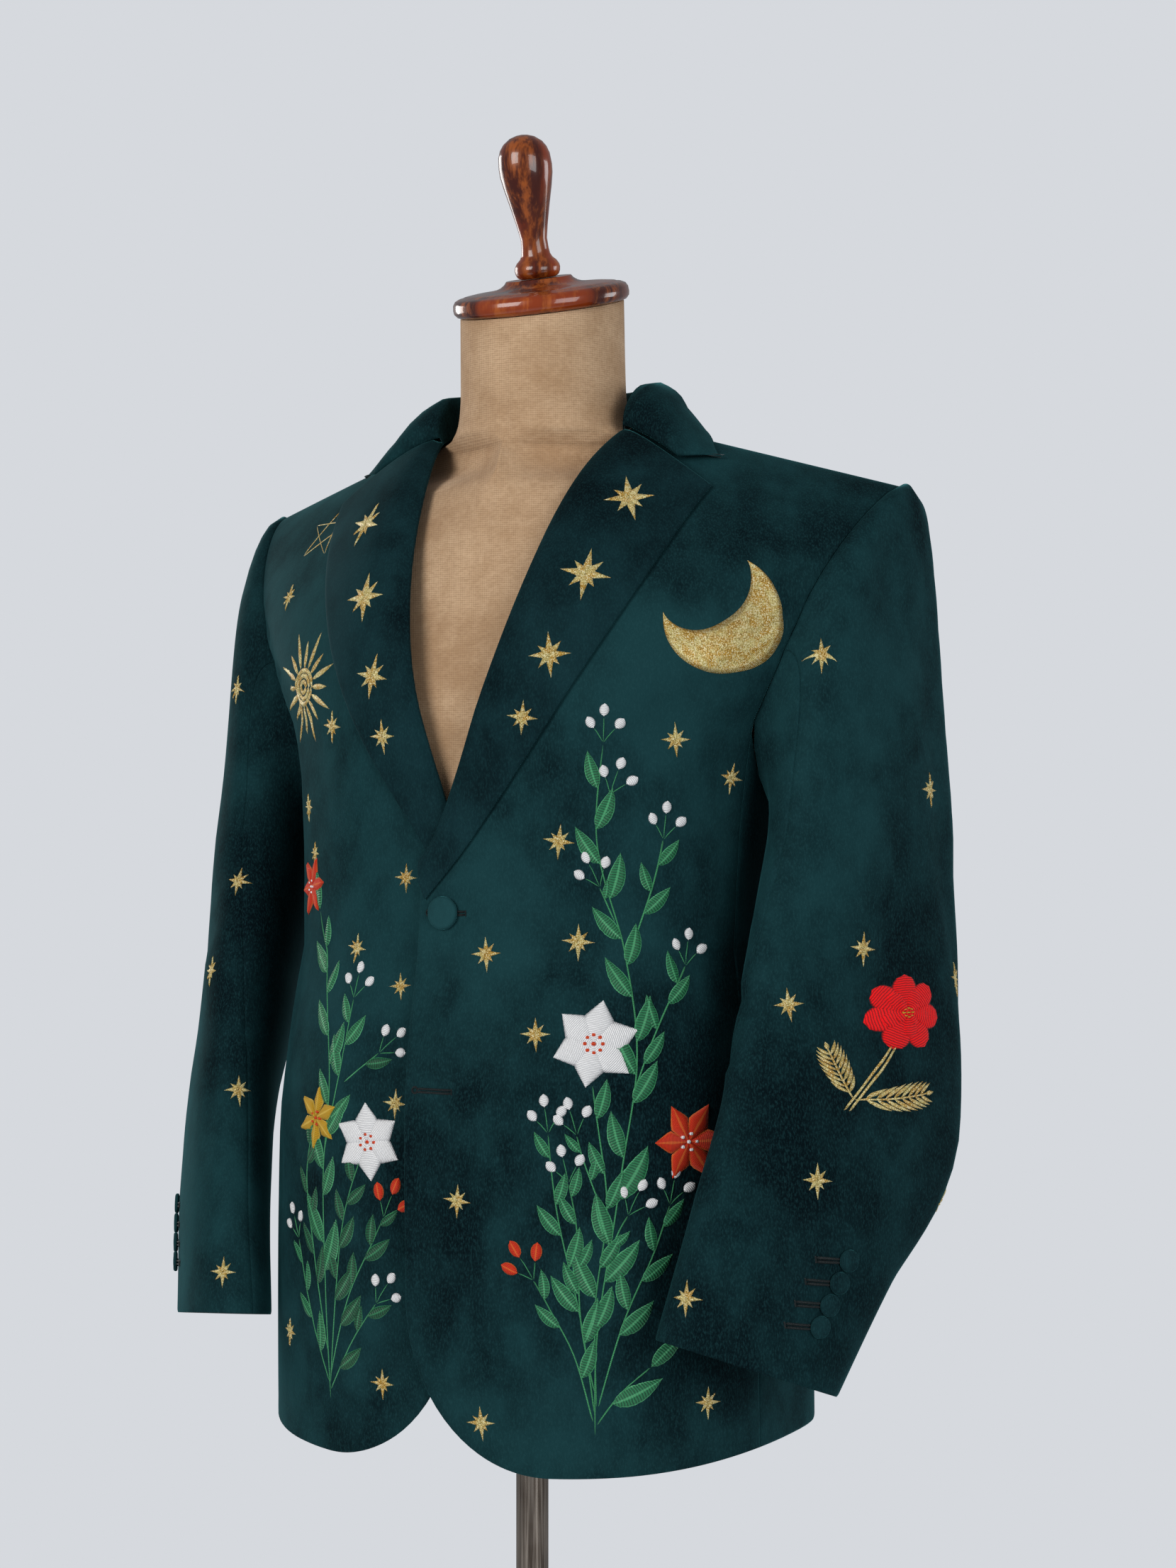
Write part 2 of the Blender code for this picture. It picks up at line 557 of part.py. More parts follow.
def make_sleeves(velvet):
    for word, side in (("left", 1), ("right", -1)):
        level = HEM_LEVEL_LEFT if side > 0 else HEM_LEVEL_RIGHT
        top = sleeve_place(SLEEVE_BACK_SEAM - 360, SLEEVE_FRONT_SEAM, level)
        under = sleeve_place(SLEEVE_FRONT_SEAM, SLEEVE_BACK_SEAM, level)
        upper = cloth(f"sleeve_top_{word}", side_flip(top, side), 14, 16, velvet, "u0 u1")
        cloth(f"sleeve_under_{word}", side_flip(under, side), 10, 16, velvet, "u0 u1")
        for number in range(4):
            along = 1 - (CUFF_BUTTON_RISE + number * CUFF_BUTTON_STEP) / SLEEVE_LENGTH
            point = sleeve(CUFF_BUTTON_ROUND, along, level)
            seat, normal = upper.closest_point_on_mesh(Vector((point.x * side, point.y, point.z)))[1:3]
            turned(f"button_cuff_{word}_{number + 1}", domed(*CUFF_BUTTON), velvet, 12,
                   seat + normal * GAP * 2, normal)


def make_buttons(velvet):
    for name, size, level, inward in (
            ("button_front_upper", UPPER_BUTTON, UPPER_BUTTON_HEIGHT, 0.0),
            ("button_front_lower", LOWER_BUTTON, LOWER_BUTTON_HEIGHT, tuck(0.0, LOWER_BUTTON_HEIGHT))):
        point = on_front(BUTTON_ACROSS, level, inward)
        normal = normal_of(plain_body, turn_at(BUTTON_ACROSS, level), level)
        turned(name, domed(*size), velvet, 16, point + normal * GAP * 3, normal)


def make_form(canvas):
    around, heights = 32, [row[0] for row in FORM.rows]
    mesh = bmesh.new()
    bmesh.ops.create_cone(mesh, cap_ends=True, segments=around, radius1=1, radius2=1, depth=1)
    sides = [e for e in mesh.edges if abs(e.verts[0].co.z - e.verts[1].co.z) > 0.5]
    bmesh.ops.subdivide_edges(mesh, edges=sides, cuts=len(heights) - 2, use_grid_fill=True)
    for vertex in mesh.verts:
        row = FORM.row(*FORM.rows[round((vertex.co.z + 0.5) * (len(heights) - 1))])
        x, y = vertex.co.x, vertex.co.y
        depth = row.front if y < 0 else row.back
        across = row.half_width * copysign(abs(x) ** (2 / row.square), x)
        behind = depth * copysign(abs(y) ** (2 / row.square), y)
        vertex.co = (across, row.middle + behind, row.height + row.tilt * behind)
    add("form_torso", mesh, canvas)


def make_neck_cap(wood):
    base = NECK_TOP + NECK_AXIS.normalized() * GAP * 1.5
    disc = [(0, 0), (0.060, 0), (0.0632, 0.0015), (0.065, 0.004), (0.065, 0.010), (0.0632, 0.013), (0.056, 0.0150),
            (0.040, 0.0160), (0.0285, 0.0185), (0.024, CAP_THICKNESS), (0, CAP_THICKNESS)]
    turned("neck_cap", disc, wood, 36, base, NECK_AXIS)
    knob = [(0, 0), (0.0130, 0), (0.0160, 0.0030), (0.0168, 0.0065), (0.0155, 0.0105), (0.0120, 0.0145),
            (0.0100, 0.0210), (0.0096, 0.0280), (0.0112, 0.0370), (0.0140, 0.0500), (0.0175, 0.0650),
            (0.0195, 0.0790), (0.0188, 0.0880), (0.0150, 0.0960), (0.0080, 0.1010), (0, 0.1028)]
    turned("finial", knob, wood, 20, base + NECK_AXIS.normalized() * (CAP_THICKNESS + GAP), NECK_AXIS)


def make_stand(steel, painted):
    turned("base", [(0, 0), (BASE_RADIUS - 0.003, 0), (BASE_RADIUS, 0.003), (BASE_RADIUS, 0.009),
                    (BASE_RADIUS - 0.005, BASE_HEIGHT), (0, BASE_HEIGHT)], painted, 40)
    inner = POLE_RADIUS + GAP
    socket_foot = BASE_HEIGHT + GAP
    turned("pole_socket", [(inner, socket_foot), (0.030, socket_foot), (0.030, socket_foot + 0.006),
                           (0.019, socket_foot + 0.012), (0.0175, socket_foot + 0.046), (inner, socket_foot + 0.048)],
           steel, 24)
    turned("pole", [(0, BASE_HEIGHT + GAP), (POLE_RADIUS, BASE_HEIGHT + GAP), (POLE_RADIUS, FORM_BOTTOM - GAP),
                    (0, FORM_BOTTOM - GAP)], steel, 24)


def main():
    for existing in list(bpy.data.objects):
        bpy.data.objects.remove(existing)
    velvet = material("velvet", (0.008, 0.036, 0.039), 0.85)
    canvas = material("canvas", (0.50, 0.37, 0.22), 0.9)
    wood = material("lacquered_wood", (0.26, 0.05, 0.01), 0.25)
    steel = material("steel", (0.22, 0.19, 0.17), 0.35, 1.0)
    painted = material("painted_base", (0.02, 0.02, 0.02), 0.45)
    make_fronts(velvet)
    make_sleeves(velvet)
    make_buttons(velvet)
    make_form(canvas)
    make_neck_cap(wood)
    make_stand(steel, painted)


main()
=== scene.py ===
"""A man's velvet western suit jacket on a dress form.

The velvet, its embroidery and buttonholes, the form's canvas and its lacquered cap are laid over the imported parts.
"""
import random
import bpy
import bmesh
from collections import namedtuple
from math import asin, atan2, copysign, cos, exp, hypot, pi, radians, sin, sqrt
from mathutils import Matrix, Vector


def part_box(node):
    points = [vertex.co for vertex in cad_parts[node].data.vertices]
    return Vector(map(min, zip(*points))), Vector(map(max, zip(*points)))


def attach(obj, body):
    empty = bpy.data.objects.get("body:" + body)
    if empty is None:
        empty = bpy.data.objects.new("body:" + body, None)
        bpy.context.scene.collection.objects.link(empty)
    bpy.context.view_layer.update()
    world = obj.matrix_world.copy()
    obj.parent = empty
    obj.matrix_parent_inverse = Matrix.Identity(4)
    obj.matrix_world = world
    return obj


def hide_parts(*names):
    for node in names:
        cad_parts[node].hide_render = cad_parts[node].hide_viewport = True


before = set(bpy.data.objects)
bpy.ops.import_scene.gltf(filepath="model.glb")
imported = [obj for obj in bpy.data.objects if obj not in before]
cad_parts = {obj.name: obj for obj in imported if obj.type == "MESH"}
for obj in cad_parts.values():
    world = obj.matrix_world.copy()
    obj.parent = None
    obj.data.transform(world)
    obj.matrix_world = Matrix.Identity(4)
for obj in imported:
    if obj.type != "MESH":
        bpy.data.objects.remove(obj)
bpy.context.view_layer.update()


# ---- Sizes, tables and surfaces, as the parts have them ----

WALL = 0.0016            # velvet, interlining and lining together
GAP = 0.0003             # between pieces that meet or lie on each other
SEWN_IN = 0.0004         # how far inside the armhole the sleeve's head starts
HOLD_BACK = 0.00003      # at a seam, each piece's edge is held back from it by this much
STEP = 1e-4              # small steps for slopes: shares of a panel,
FRONT_STEP, PLAN_STEP = 0.0004, 0.0006   # metres on the front and in plan,
SLEEVE_STEPS = (0.5, 0.002)              # degrees round a sleeve and a share along it

HEM = 0.752              # heights above the floor
CHEST = 1.260
SHOULDER_TIP = (0.252, 1.433)
SHOULDER_SET_BACK = 0.26  # how fast the shoulder line runs back as it goes out
NECK_POINT = (0.080, 1.480)
CORNER = (0.105, 0.115)  # width and height of the rounded front corner
EDGE_PAST_CENTRE = 0.018
SIDE_FRONT_SEAM = radians(77)
SIDE_BACK_SEAM = radians(111)
HEM_LIFT, LIFT_HEIGHT = 0.012, 0.15   # how far the hem rises at the sides, and how far up that is felt
TUCK_DEPTH, TUCK_DEEPER = 0.0070, 0.0008   # of the right front under the left one, and below the upper button
TUCK_ACROSS, TUCK_TOP, TUCK_MIDDLE = (0.022, 0.080), (1.195, 1.310), (1.100, 1.060)   # where it changes
TUCK_LOW, TUCK_EASE = 0.95, 0.45           # it eases by this share from here down to the hem
TOP_SECTION = 0.300      # half width of the section that the shoulder lines are cut from
SQUARENESS = 2.3
FRONT_ROUND, BACK_ROUND = 1.55, 2.2
NECK_BACK, NECK_FRONT = 0.066, 0.030   # the neck seam, behind and ahead of the shoulder line
NECK_MIDDLE = 0.020      # where the shoulder line meets the neck

BASE_HEIGHT = 0.014
NECK_TOP = Vector((0.0, 0.015, 1.568))   # the middle of the form's neck
NECK_AXIS = Vector((0.0, -0.247, 0.969))
CAP_THICKNESS = 0.0225


def clamped(share):
    return min(max(share, 0.0), 1.0)


def between(start, end, share):
    return start + (end - start) * share


def signed_power(value, power):
    return copysign(abs(value) ** power, value)


class Table:
    """Named columns against a rising first column, joined by smooth curves that never overshoot a row."""

    def __init__(self, columns, *rows):
        self.row = namedtuple("Row", columns)
        self.rows = rows
        self.slopes = [self.column_slopes(c) for c in range(len(rows[0]))]

    def column_slopes(self, column):
        keys, values = [r[0] for r in self.rows], [r[column] for r in self.rows]
        steps = [(b - a) / (k - j) for a, b, j, k in zip(values, values[1:], keys, keys[1:])]
        inner = [0.0 if a * b <= 0 else 2 * a * b / (a + b) for a, b in zip(steps, steps[1:])]
        return [steps[0]] + inner + [steps[-1]]

    def at(self, key):
        key = min(max(key, self.rows[0][0]), self.rows[-1][0])
        i = max(j for j, r in enumerate(self.rows[:-1]) if key >= r[0] or j == 0)
        low, high = self.rows[i], self.rows[i + 1]
        span = high[0] - low[0]
        f = (key - low[0]) / span
        values = []
        for column, slopes in enumerate(self.slopes):
            start, end = low[column], high[column]
            rise = f * f * (3 - 2 * f)
            bend = f * (1 - f) * ((1 - f) * slopes[i] - f * slopes[i + 1]) * span
            values.append(between(start, end, rise) + bend)
        return self.row(*values)


BODY = Table("level half_width middle front back",
             (0.752, 0.198, 0.020, 0.165, 0.160),
             (0.870, 0.197, 0.020, 0.168, 0.158),
             (0.970, 0.194, 0.019, 0.169, 0.150),
             (1.030, 0.187, 0.018, 0.164, 0.144),
             (1.120, 0.178, 0.018, 0.148, 0.138),
             (1.180, 0.180, 0.019, 0.145, 0.138),
             (1.260, 0.189, 0.021, 0.145, 0.140))

ARMHOLE = Table("round turn level",
                (0, 58.0, 1.480), (35, 59.0, 1.447), (70, 62.2, 1.388), (105, 69.0, 1.322), (135, 77.0, 1.256),
                (160, 84.5, 1.219), (180, 92.5, 1.207), (200, 101.5, 1.216), (225, 111.0, 1.252),
                (255, 115.5, 1.317), (290, 119.0, 1.385), (325, 121.2, 1.447), (360, 122.0, 1.480))

ROLL_LINE = Table("height x",
                  (1.165, -EDGE_PAST_CENTRE), (1.181, -0.006), (1.220, 0.010), (1.270, 0.026), (1.313, 0.038),
                  (1.360, 0.049), (1.440, 0.066), (1.480, 0.080))

LAPEL = Table("along roll_height edge_x edge_height puff",
              (0.00, 1.150, -0.0130, 1.140, 0.0000), (0.12, 1.185, 0.0180, 1.176, 0.0008),
              (0.35, 1.262, 0.0680, 1.248, 0.0030), (0.60, 1.350, 0.1100, 1.320, 0.0045),
              (0.80, 1.414, 0.1350, 1.376, 0.0050), (1.00, 1.4713, 0.1520, 1.4275, 0.0050))
GORGE_HEIGHT = 1.472
TURNED_LIE = 0.0026      # a turned-back piece's outer face, above the cloth it lies on
UNDER_LIE = 0.0012       # what the right lapel's is above that
ROLL_SHARE = 0.25        # share of a turned-back piece's grid that goes round the roll or up the stand
NOTCH = (0.1235, 1.4462)
COLLAR_TIP = (0.149, 1.4500)
COLLAR = Table("along edge_x edge_y stand puff",
               (0.00, 0.145, -0.020, 0.002, 0.003), (0.25, 0.126, 0.0325, 0.026, 0.006),
               (0.50, 0.112, 0.070, 0.033, 0.006), (0.75, 0.068, 0.109, 0.035, 0.006),
               (1.00, 0.000, 0.124, 0.036, 0.006))
NOTCH_SHARE = 0.62       # share of the collar's end that runs along the lapel's gorge
COLLAR_FRONT = 0.25      # share of the collar's half that lies ahead of the shoulder seam

ARM = Table("along x y height length thickness heading",
            (0.00, 0.246, 0.030, 1.172, 0.163, 0.082, 20), (0.30, 0.249, 0.007, 1.070, 0.187, 0.072, 26),
            (0.50, 0.251, -0.013, 1.000, 0.190, 0.068, 31), (0.75, 0.233, -0.055, 0.915, 0.156, 0.066, 39),
            (1.00, 0.2115, -0.087, 0.830, 0.132, 0.064, 45))
CAP_SHARE = 0.38         # share of the sleeve's length above the first free ring
HEM_LEVEL_LEFT, HEM_LEVEL_RIGHT = 0.005, 0.016   # how far the cuff's front is let down, so that it hangs level
SLEEVE_FRONT_SEAM, SLEEVE_BACK_SEAM = 105, 255
RING_TURN = 24           # degrees by which the top rings turn against the rings further down
LEAVE_FRONT = 0.040      # how much more sideways the sleeve leaves the front and back of the armhole than its top
ARMHOLE_MIDDLE = (0.036, 1.320)
RING_SQUARENESS = 0.9

# Places are taken in metres a radian round the body, a degree round a sleeve, and a whole sleeve along.
BODY_ROUND, SLEEVE_ROUND, SLEEVE_ALONG = 0.18, 0.0011, 0.62


def fold_table(columns, *rows):
    """Soft troughs (depth above 0) and ridges (below 0): where they lie, how they run, and their size.

    Each table starts with the folds that the solids have, and goes on with the small creases that they leave out.
    Turns and slants are in degrees, the rest in millimetres or in thousandths of the sleeve.
    """
    fold = namedtuple("Fold", columns)
    return [fold(turn, place / 1000, slant, *(size / 1000 for size in sizes)) for turn, place, slant, *sizes in rows]


BODY_FOLDS = fold_table(
    "turn level slant length width depth",
    (57, 1300, 38, 60, 13, 4), (50, 1262, 30, 70, 14, 3), (62, 1220, 20, 50, 12, 2.5), (30, 1100, -12, 60, 16, 1.5),
    (120, 1150, 15, 70, 20, 3), (140, 1090, -10, 80, 18, 2.5), (48, 1285, 44, 50, 10, 2.4),
    (54, 1330, 52, 45, 10, -1.6), (60, 1345, 60, 40, 9, 2.4), (42, 1235, 30, 60, 12, 1.8),
    (26, 1160, 10, 60, 10, 1.6), (24, 1105, -12, 60, 10, 1.6), (66, 1100, 8, 90, 14, 2.4), (52, 930, 80, 90, 16, 2.2),
    (36, 860, 84, 100, 18, 2.2), (80, 950, 85, 120, 20, -2), (96, 1020, 80, 120, 18, 2.6),
    (130, 920, 85, 140, 20, 2.4), (155, 1250, 15, 70, 14, 2.4), (165, 1350, 5, 60, 12, 1.8),
    (120, 1220, 25, 60, 12, 2.6))
SLEEVE_FOLDS = fold_table(
    "round along slant length width depth",
    (30, 160, 80, 50, 14, 5), (60, 520, 25, 60, 14, 3), (100, 600, 15, 50, 12, 3.5), (190, 580, -20, 60, 14, 3),
    (300, 450, 70, 120, 16, 3), (350, 500, 20, 50, 10, 2.4), (20, 560, -18, 55, 11, -1.6), (75, 460, 30, 55, 12, 2.8),
    (88, 550, 18, 45, 10, 2.6), (95, 660, -12, 45, 11, 2.4), (330, 300, 62, 60, 12, 2.4), (15, 120, 70, 35, 9, 2.8),
    (320, 720, 75, 70, 14, 2), (60, 800, 80, 60, 14, 1.8))

# Cuff buttons: how far apart, how far above the cuff, in metres along a sleeve of this length, and degrees round.
CUFF_BUTTON_STEP, CUFF_BUTTON_RISE, SLEEVE_LENGTH, CUFF_BUTTON_ROUND = 0.0153, 0.040, 0.58, 342

FORM = Table("height half_width middle front back square tilt",
             (0.860, 0.160, 0.010, 0.120, 0.120, 2.2, 0.0), (0.900, 0.172, 0.010, 0.134, 0.128, 2.2, 0.0),
             (0.980, 0.172, 0.010, 0.138, 0.124, 2.2, 0.0), (1.110, 0.154, 0.013, 0.120, 0.118, 2.2, 0.0),
             (1.200, 0.162, 0.018, 0.126, 0.120, 2.2, 0.0), (1.270, 0.170, 0.022, 0.129, 0.120, 2.2, 0.0),
             (1.330, 0.172, 0.026, 0.118, 0.114, 2.1, 0.0), (1.390, 0.173, 0.032, 0.108, 0.100, 1.7, 0.0),
             (1.430, 0.173, 0.035, 0.095, 0.076, 1.3, 0.0), (1.4516, 0.170, 0.0420, 0.093, 0.058, 0.80, 0.0),
             (1.4630, 0.128, 0.0300, 0.075, 0.054, 0.85, 0.0), (1.4700, 0.0985, 0.0225, 0.064, 0.050, 1.0, 0.0),
             (1.4720, 0.0715, 0.0200, 0.061, 0.048, 2.0, 0.0), (1.4890, 0.0640, 0.0180, 0.058, 0.052, 2.0, 0.08),
             (1.5100, 0.0610, 0.0165, 0.059, 0.059, 2.0, 0.15), (1.5680, 0.0600, 0.0150, 0.060, 0.060, 2.0, 0.255))


def smooth(low, high, value):
    f = clamped((value - low) / (high - low))
    return f * f * (3 - 2 * f)


def dome(share, roundness):
    return max(1 - clamped(share) ** roundness, 0.0) ** (1 / roundness)


def shoulder_height(x):
    slope = (NECK_POINT[1] - SHOULDER_TIP[1]) / (SHOULDER_TIP[0] - NECK_POINT[0])
    return SHOULDER_TIP[1] + slope * (SHOULDER_TIP[0] - abs(x))


def above_chest(level):
    return (level - CHEST) / (NECK_POINT[1] - CHEST)


def set_back(x, share):
    """How far back the shoulder line draws a section that lies at a share of the way up to it from the chest."""
    return SHOULDER_SET_BACK * max(abs(x) - NECK_POINT[0], 0.0) * share


def height_at(x, share):
    return between(CHEST, shoulder_height(x), share)


def half_width(level):
    if level <= CHEST:
        return BODY.at(level).half_width
    return between(BODY.at(CHEST).half_width, TOP_SECTION, above_chest(level) ** 0.9)


def plain_body(turn, level):
    """The body surface: turn runs from the front centre (0) round the wearer's left to the back centre (pi)."""
    across, forward = sin(turn), cos(turn)
    x = half_width(level) * signed_power(across, 2 / SQUARENESS)
    row = BODY.at(level)
    depth, roundness = (row.front, FRONT_ROUND) if forward > 0 else (row.back, BACK_ROUND)
    depth *= signed_power(forward, 2 / SQUARENESS)
    if level <= CHEST:
        lift = (1 - smooth(HEM, HEM + LIFT_HEIGHT, level)) * HEM_LIFT * abs(across) ** 4
        return Vector((x, row.middle - depth, level + lift))
    share = above_chest(level)
    middle = row.middle + set_back(x, share)
    return Vector((x, middle - depth * dome(share, roundness), height_at(x, share)))


def fold_depth(folds, across, up):
    """Depth of the folds at a place: across and up are metres from each fold's middle, given by functions."""
    total = 0.0
    for fold in folds:
        dx, dz, slant = across(fold), up(fold), radians(fold.slant)
        run, side = dx * cos(slant) + dz * sin(slant), dz * cos(slant) - dx * sin(slant)
        total += fold.depth * exp(-(run / fold.length) ** 2 * 2 - (side / fold.width) ** 2 * 2)
    return total


def normal_of(place, u, v, steps=(STEP, STEP)):
    across = place(u + steps[0], v) - place(u - steps[0], v)
    along = place(u, v + steps[1]) - place(u, v - steps[1])
    return across.cross(along).normalized()


def body(turn, level, inward=0.0):
    depth = inward + fold_depth(BODY_FOLDS, lambda f: (turn - radians(f.turn)) * BODY_ROUND,
                                lambda f: level - f.level)
    if depth < 1e-6:
        return plain_body(turn, level)
    return plain_body(turn, level) - normal_of(plain_body, turn, level) * depth


def turn_at(x, level):
    share = min(abs(x) / half_width(level), 1.0)
    return copysign(asin(share ** (SQUARENESS / 2)), x)


def level_at(x, height):
    if height <= CHEST:
        return height
    share = (height - CHEST) / (shoulder_height(x) - CHEST)
    return between(CHEST, NECK_POINT[1], min(share, 1.0))


def on_front(x, height, inward=0.0):
    level = level_at(x, height)
    return body(turn_at(x, level), level, inward)


def front_normal(x, height):
    """The cloth's outward direction on the front."""
    across = on_front(x + FRONT_STEP, height) - on_front(x - FRONT_STEP, height)
    return across.cross(on_front(x, height) - on_front(x, height - 2 * FRONT_STEP)).normalized()


def armhole(round_degrees):
    row = ARMHOLE.at(round_degrees % 360)
    return body(radians(row.turn), row.level)


def on_side(side, point):
    """The point as it lies on the wearer's left (side 1) or, mirrored, on the right (side -1)."""
    return Vector((point.x * side, point.y, point.z))


def side_flip(place, side):
    """The same place function for either side; mirrored, it runs the other way round."""
    return place if side > 0 else lambda u, v: on_side(side, place(1 - u, v))


def tuck(x, level):
    """How far the right front lies under the left one near the centre."""
    depth = TUCK_DEPTH + TUCK_DEEPER * smooth(*TUCK_MIDDLE, level)
    low = 1 - TUCK_EASE * smooth(TUCK_LOW, HEM, level) if level < TUCK_LOW else 1.0
    return (1 - smooth(*TUCK_ACROSS, x)) * depth * low * (1 - smooth(*TUCK_TOP, level))


def front_at(x, height, under):
    """The left front, or the right one, which is tucked under it, both read on the wearer's left."""
    return on_front(x, height, tuck(x, level_at(x, height)) if under else 0.0)


def front_place(under):
    corner_v, arm_v = 0.20, 0.55
    corner_top, arm_level = HEM + CORNER[1], ARMHOLE.at(135).level

    def place(u, v):
        outer = SIDE_FRONT_SEAM
        if v < corner_v:
            level = HEM + CORNER[1] * (1 - cos(v / corner_v * pi / 2))
        elif v < arm_v:
            level = between(corner_top, arm_level, (v - corner_v) / (arm_v - corner_v))
        else:
            row = ARMHOLE.at(135 * (1 - (v - arm_v) / (1 - arm_v)))
            outer, level = radians(row.turn), row.level
        if level < corner_top:
            drop = min((corner_top - level) / CORNER[1], 1.0)
            inner = -EDGE_PAST_CENTRE + CORNER[0] * (1 - sqrt(1 - drop * drop))
        else:
            inner = roll_x(level)
        turn = between(turn_at(inner, level), outer, u)
        return body(turn, level, tuck(plain_body(turn, level).x, level) if under else 0.0)
    return place


def roll_x(level):
    """The roll line's place across at a level: heights follow from the place itself, so it is found in steps."""
    if level <= CHEST:
        return ROLL_LINE.at(level).x
    x = NECK_POINT[0]
    for _ in range(6):
        x = ROLL_LINE.at(height_at(x, above_chest(level))).x
    return x


def side_place(u, v):
    row = ARMHOLE.at(135 + 90 * u)
    top_turn = radians(row.turn)
    turn = top_turn if v > 0.999 else between(between(SIDE_FRONT_SEAM, SIDE_BACK_SEAM, u), top_turn, v ** 3)
    return body(turn, between(HEM, row.level, v))


def neck_edge(angle):
    """The neck seam in plan: angle 0 at the shoulder seam, 90 at the back centre."""
    behind = NECK_BACK if angle > 0 else NECK_FRONT
    return NECK_POINT[0] * cos(radians(max(angle, 0.0))), NECK_MIDDLE + behind * sin(radians(angle))


def on_plan(x, y):
    """The body surface under a place in plan, near the neck."""
    level = NECK_POINT[1]
    for _ in range(8):
        row = BODY.at(CHEST)
        middle = row.middle + set_back(x, above_chest(level))
        depth, roundness = (row.front, FRONT_ROUND) if y < middle else (row.back, BACK_ROUND)
        section = max(1 - (abs(x) / half_width(level)) ** SQUARENESS, 0.0) ** (1 / SQUARENESS)
        reach = min(abs(y - middle) / (depth * section), 1.0)
        level = between(CHEST, NECK_POINT[1], dome(reach, roundness))
    return Vector((x, y, height_at(x, above_chest(level))))


def back_place(u, v):
    arm_v, neck_u = 0.5, 0.5
    if v < arm_v:
        return body(between(SIDE_BACK_SEAM, pi, u), between(HEM, ARMHOLE.at(225).level, v / arm_v))
    share = (v - arm_v) / (1 - arm_v)
    row = ARMHOLE.at(225 + 135 * share)
    neck_turn = pi - asin((NECK_POINT[0] / TOP_SECTION) ** (SQUARENESS / 2))
    outer = radians(row.turn)
    if u < neck_u:
        top_turn, top_level = between(outer, neck_turn, u / neck_u), NECK_POINT[1]
    else:
        x, y = neck_edge(90 * (u - neck_u) / (1 - neck_u))
        top = on_plan(x, y)
        top_level = level_at(x, top.z)
        top_turn = pi - turn_at(x, top_level)
    turn = between(between(outer, pi, u), top_turn, share)
    base = ARMHOLE.at(225).level
    level = row.level + (top_level - NECK_POINT[1]) * ((row.level - base) / (NECK_POINT[1] - base))
    return body(turn, level)


def lapel_place(under):
    def place(u, v):
        row = LAPEL.at(v)
        x0 = ROLL_LINE.at(row.roll_height).x

        def spot_at(s):
            return between(x0, row.edge_x, s), between(row.roll_height, row.edge_height, s)

        def path(s):
            return front_at(*spot_at(s), under)

        if u < ROLL_SHARE:
            f = u / ROLL_SHARE
            outward = (path(0.05) - path(0.0)).normalized()
            rise = between(-WALL, TURNED_LIE, f)
            return path(0.0) + front_normal(*spot_at(0.0)) * rise - outward * (WALL + 6 * GAP) * cos(f * f * pi / 2)
        s = (u - ROLL_SHARE) / (1 - ROLL_SHARE)
        puff = row.puff * (1 - (2 * min(s, 0.999) ** 0.6 - 1) ** 2)
        return path(s) + front_normal(*spot_at(s)) * (TURNED_LIE + puff + (UNDER_LIE if under else 0.0))
    return place


def collar_place(u, v):
    """v runs from the left notch (0) round the back of the neck (0.5) to the right notch (1)."""
    side = 1 if v <= 0.5 else -1
    along = v * 2 if v <= 0.5 else 2 - v * 2
    row = COLLAR.at(along)
    gorge, notch, tip = on_front(ROLL_LINE.at(GORGE_HEIGHT).x, GORGE_HEIGHT), on_front(*NOTCH), on_front(*COLLAR_TIP)
    x0, y0 = neck_edge(90 * max(along - COLLAR_FRONT, 0) / (1 - COLLAR_FRONT))
    front = max(1 - along / COLLAR_FRONT, 0)
    x0, y0 = between(x0, gorge.x, front), between(y0, gorge.y, front)
    first = smooth(0.35, 0.0, along)

    def path(s):
        x, y = between(x0, row.edge_x, s), between(y0, row.edge_y, s)
        if first > 0:
            start, end, f = ((gorge, notch, s / NOTCH_SHARE) if s < NOTCH_SHARE else
                             (notch, tip, (s - NOTCH_SHARE) / (1 - NOTCH_SHARE)))
            x, y = between(x, between(start.x, end.x, f), first), between(y, between(start.y, end.y, f), first)
        return on_plan(x, y)

    def normal(s):
        return normal_of(on_plan, *path(s).xy, (PLAN_STEP, PLAN_STEP))
    outward = (path(0.1) - path(0.0)).normalized()
    behind = smooth(0.0, COLLAR_FRONT, along)
    outward.z *= 1 - behind
    outward.normalize()
    upright = (Vector((0, 0, 1)) + outward * 0.10).normalized()
    lie = TURNED_LIE + 0.0012 * behind
    stand_up = normal(0.0).lerp(upright, behind).normalized()
    if u < ROLL_SHARE:
        f = u / ROLL_SHARE
        inside = WALL + 3 * GAP + 0.0016 * behind
        point = path(0.0) - outward * inside * (1 - 0.3 * f * f) + stand_up * (row.stand + lie + WALL) * f
        point = point - stand_up * WALL
    else:
        s = (u - ROLL_SHARE) / (1 - ROLL_SHARE)
        height = lie + row.stand * (1 - s) ** 1.25 + row.puff * 4 * s * (1 - s) * (1 - 0.35 * s)
        leaning = stand_up.lerp(normal(s), s).normalized()
        point = path(s) + leaning * height + outward * 0.004 * sin(pi * min(s * 2, 1)) * (row.stand > 0.01)
    return on_side(side, point)


def arm_axes(along):
    """The sleeve's centre at a place, its direction down the arm, and the directions of its front and outer side."""
    row, ahead, behind = ARM.at(along), ARM.at(min(along + 0.02, 1)), ARM.at(max(along - 0.02, 0))
    centre = Vector((row.x, row.y, row.height))
    down = Vector((ahead.x - behind.x, ahead.y - behind.y, ahead.height - behind.height)).normalized()
    heading = Vector((-sin(radians(row.heading)), -cos(radians(row.heading)), 0))
    forward = (heading - down * heading.dot(down)).normalized()
    return row, centre, down, forward, forward.cross(down)


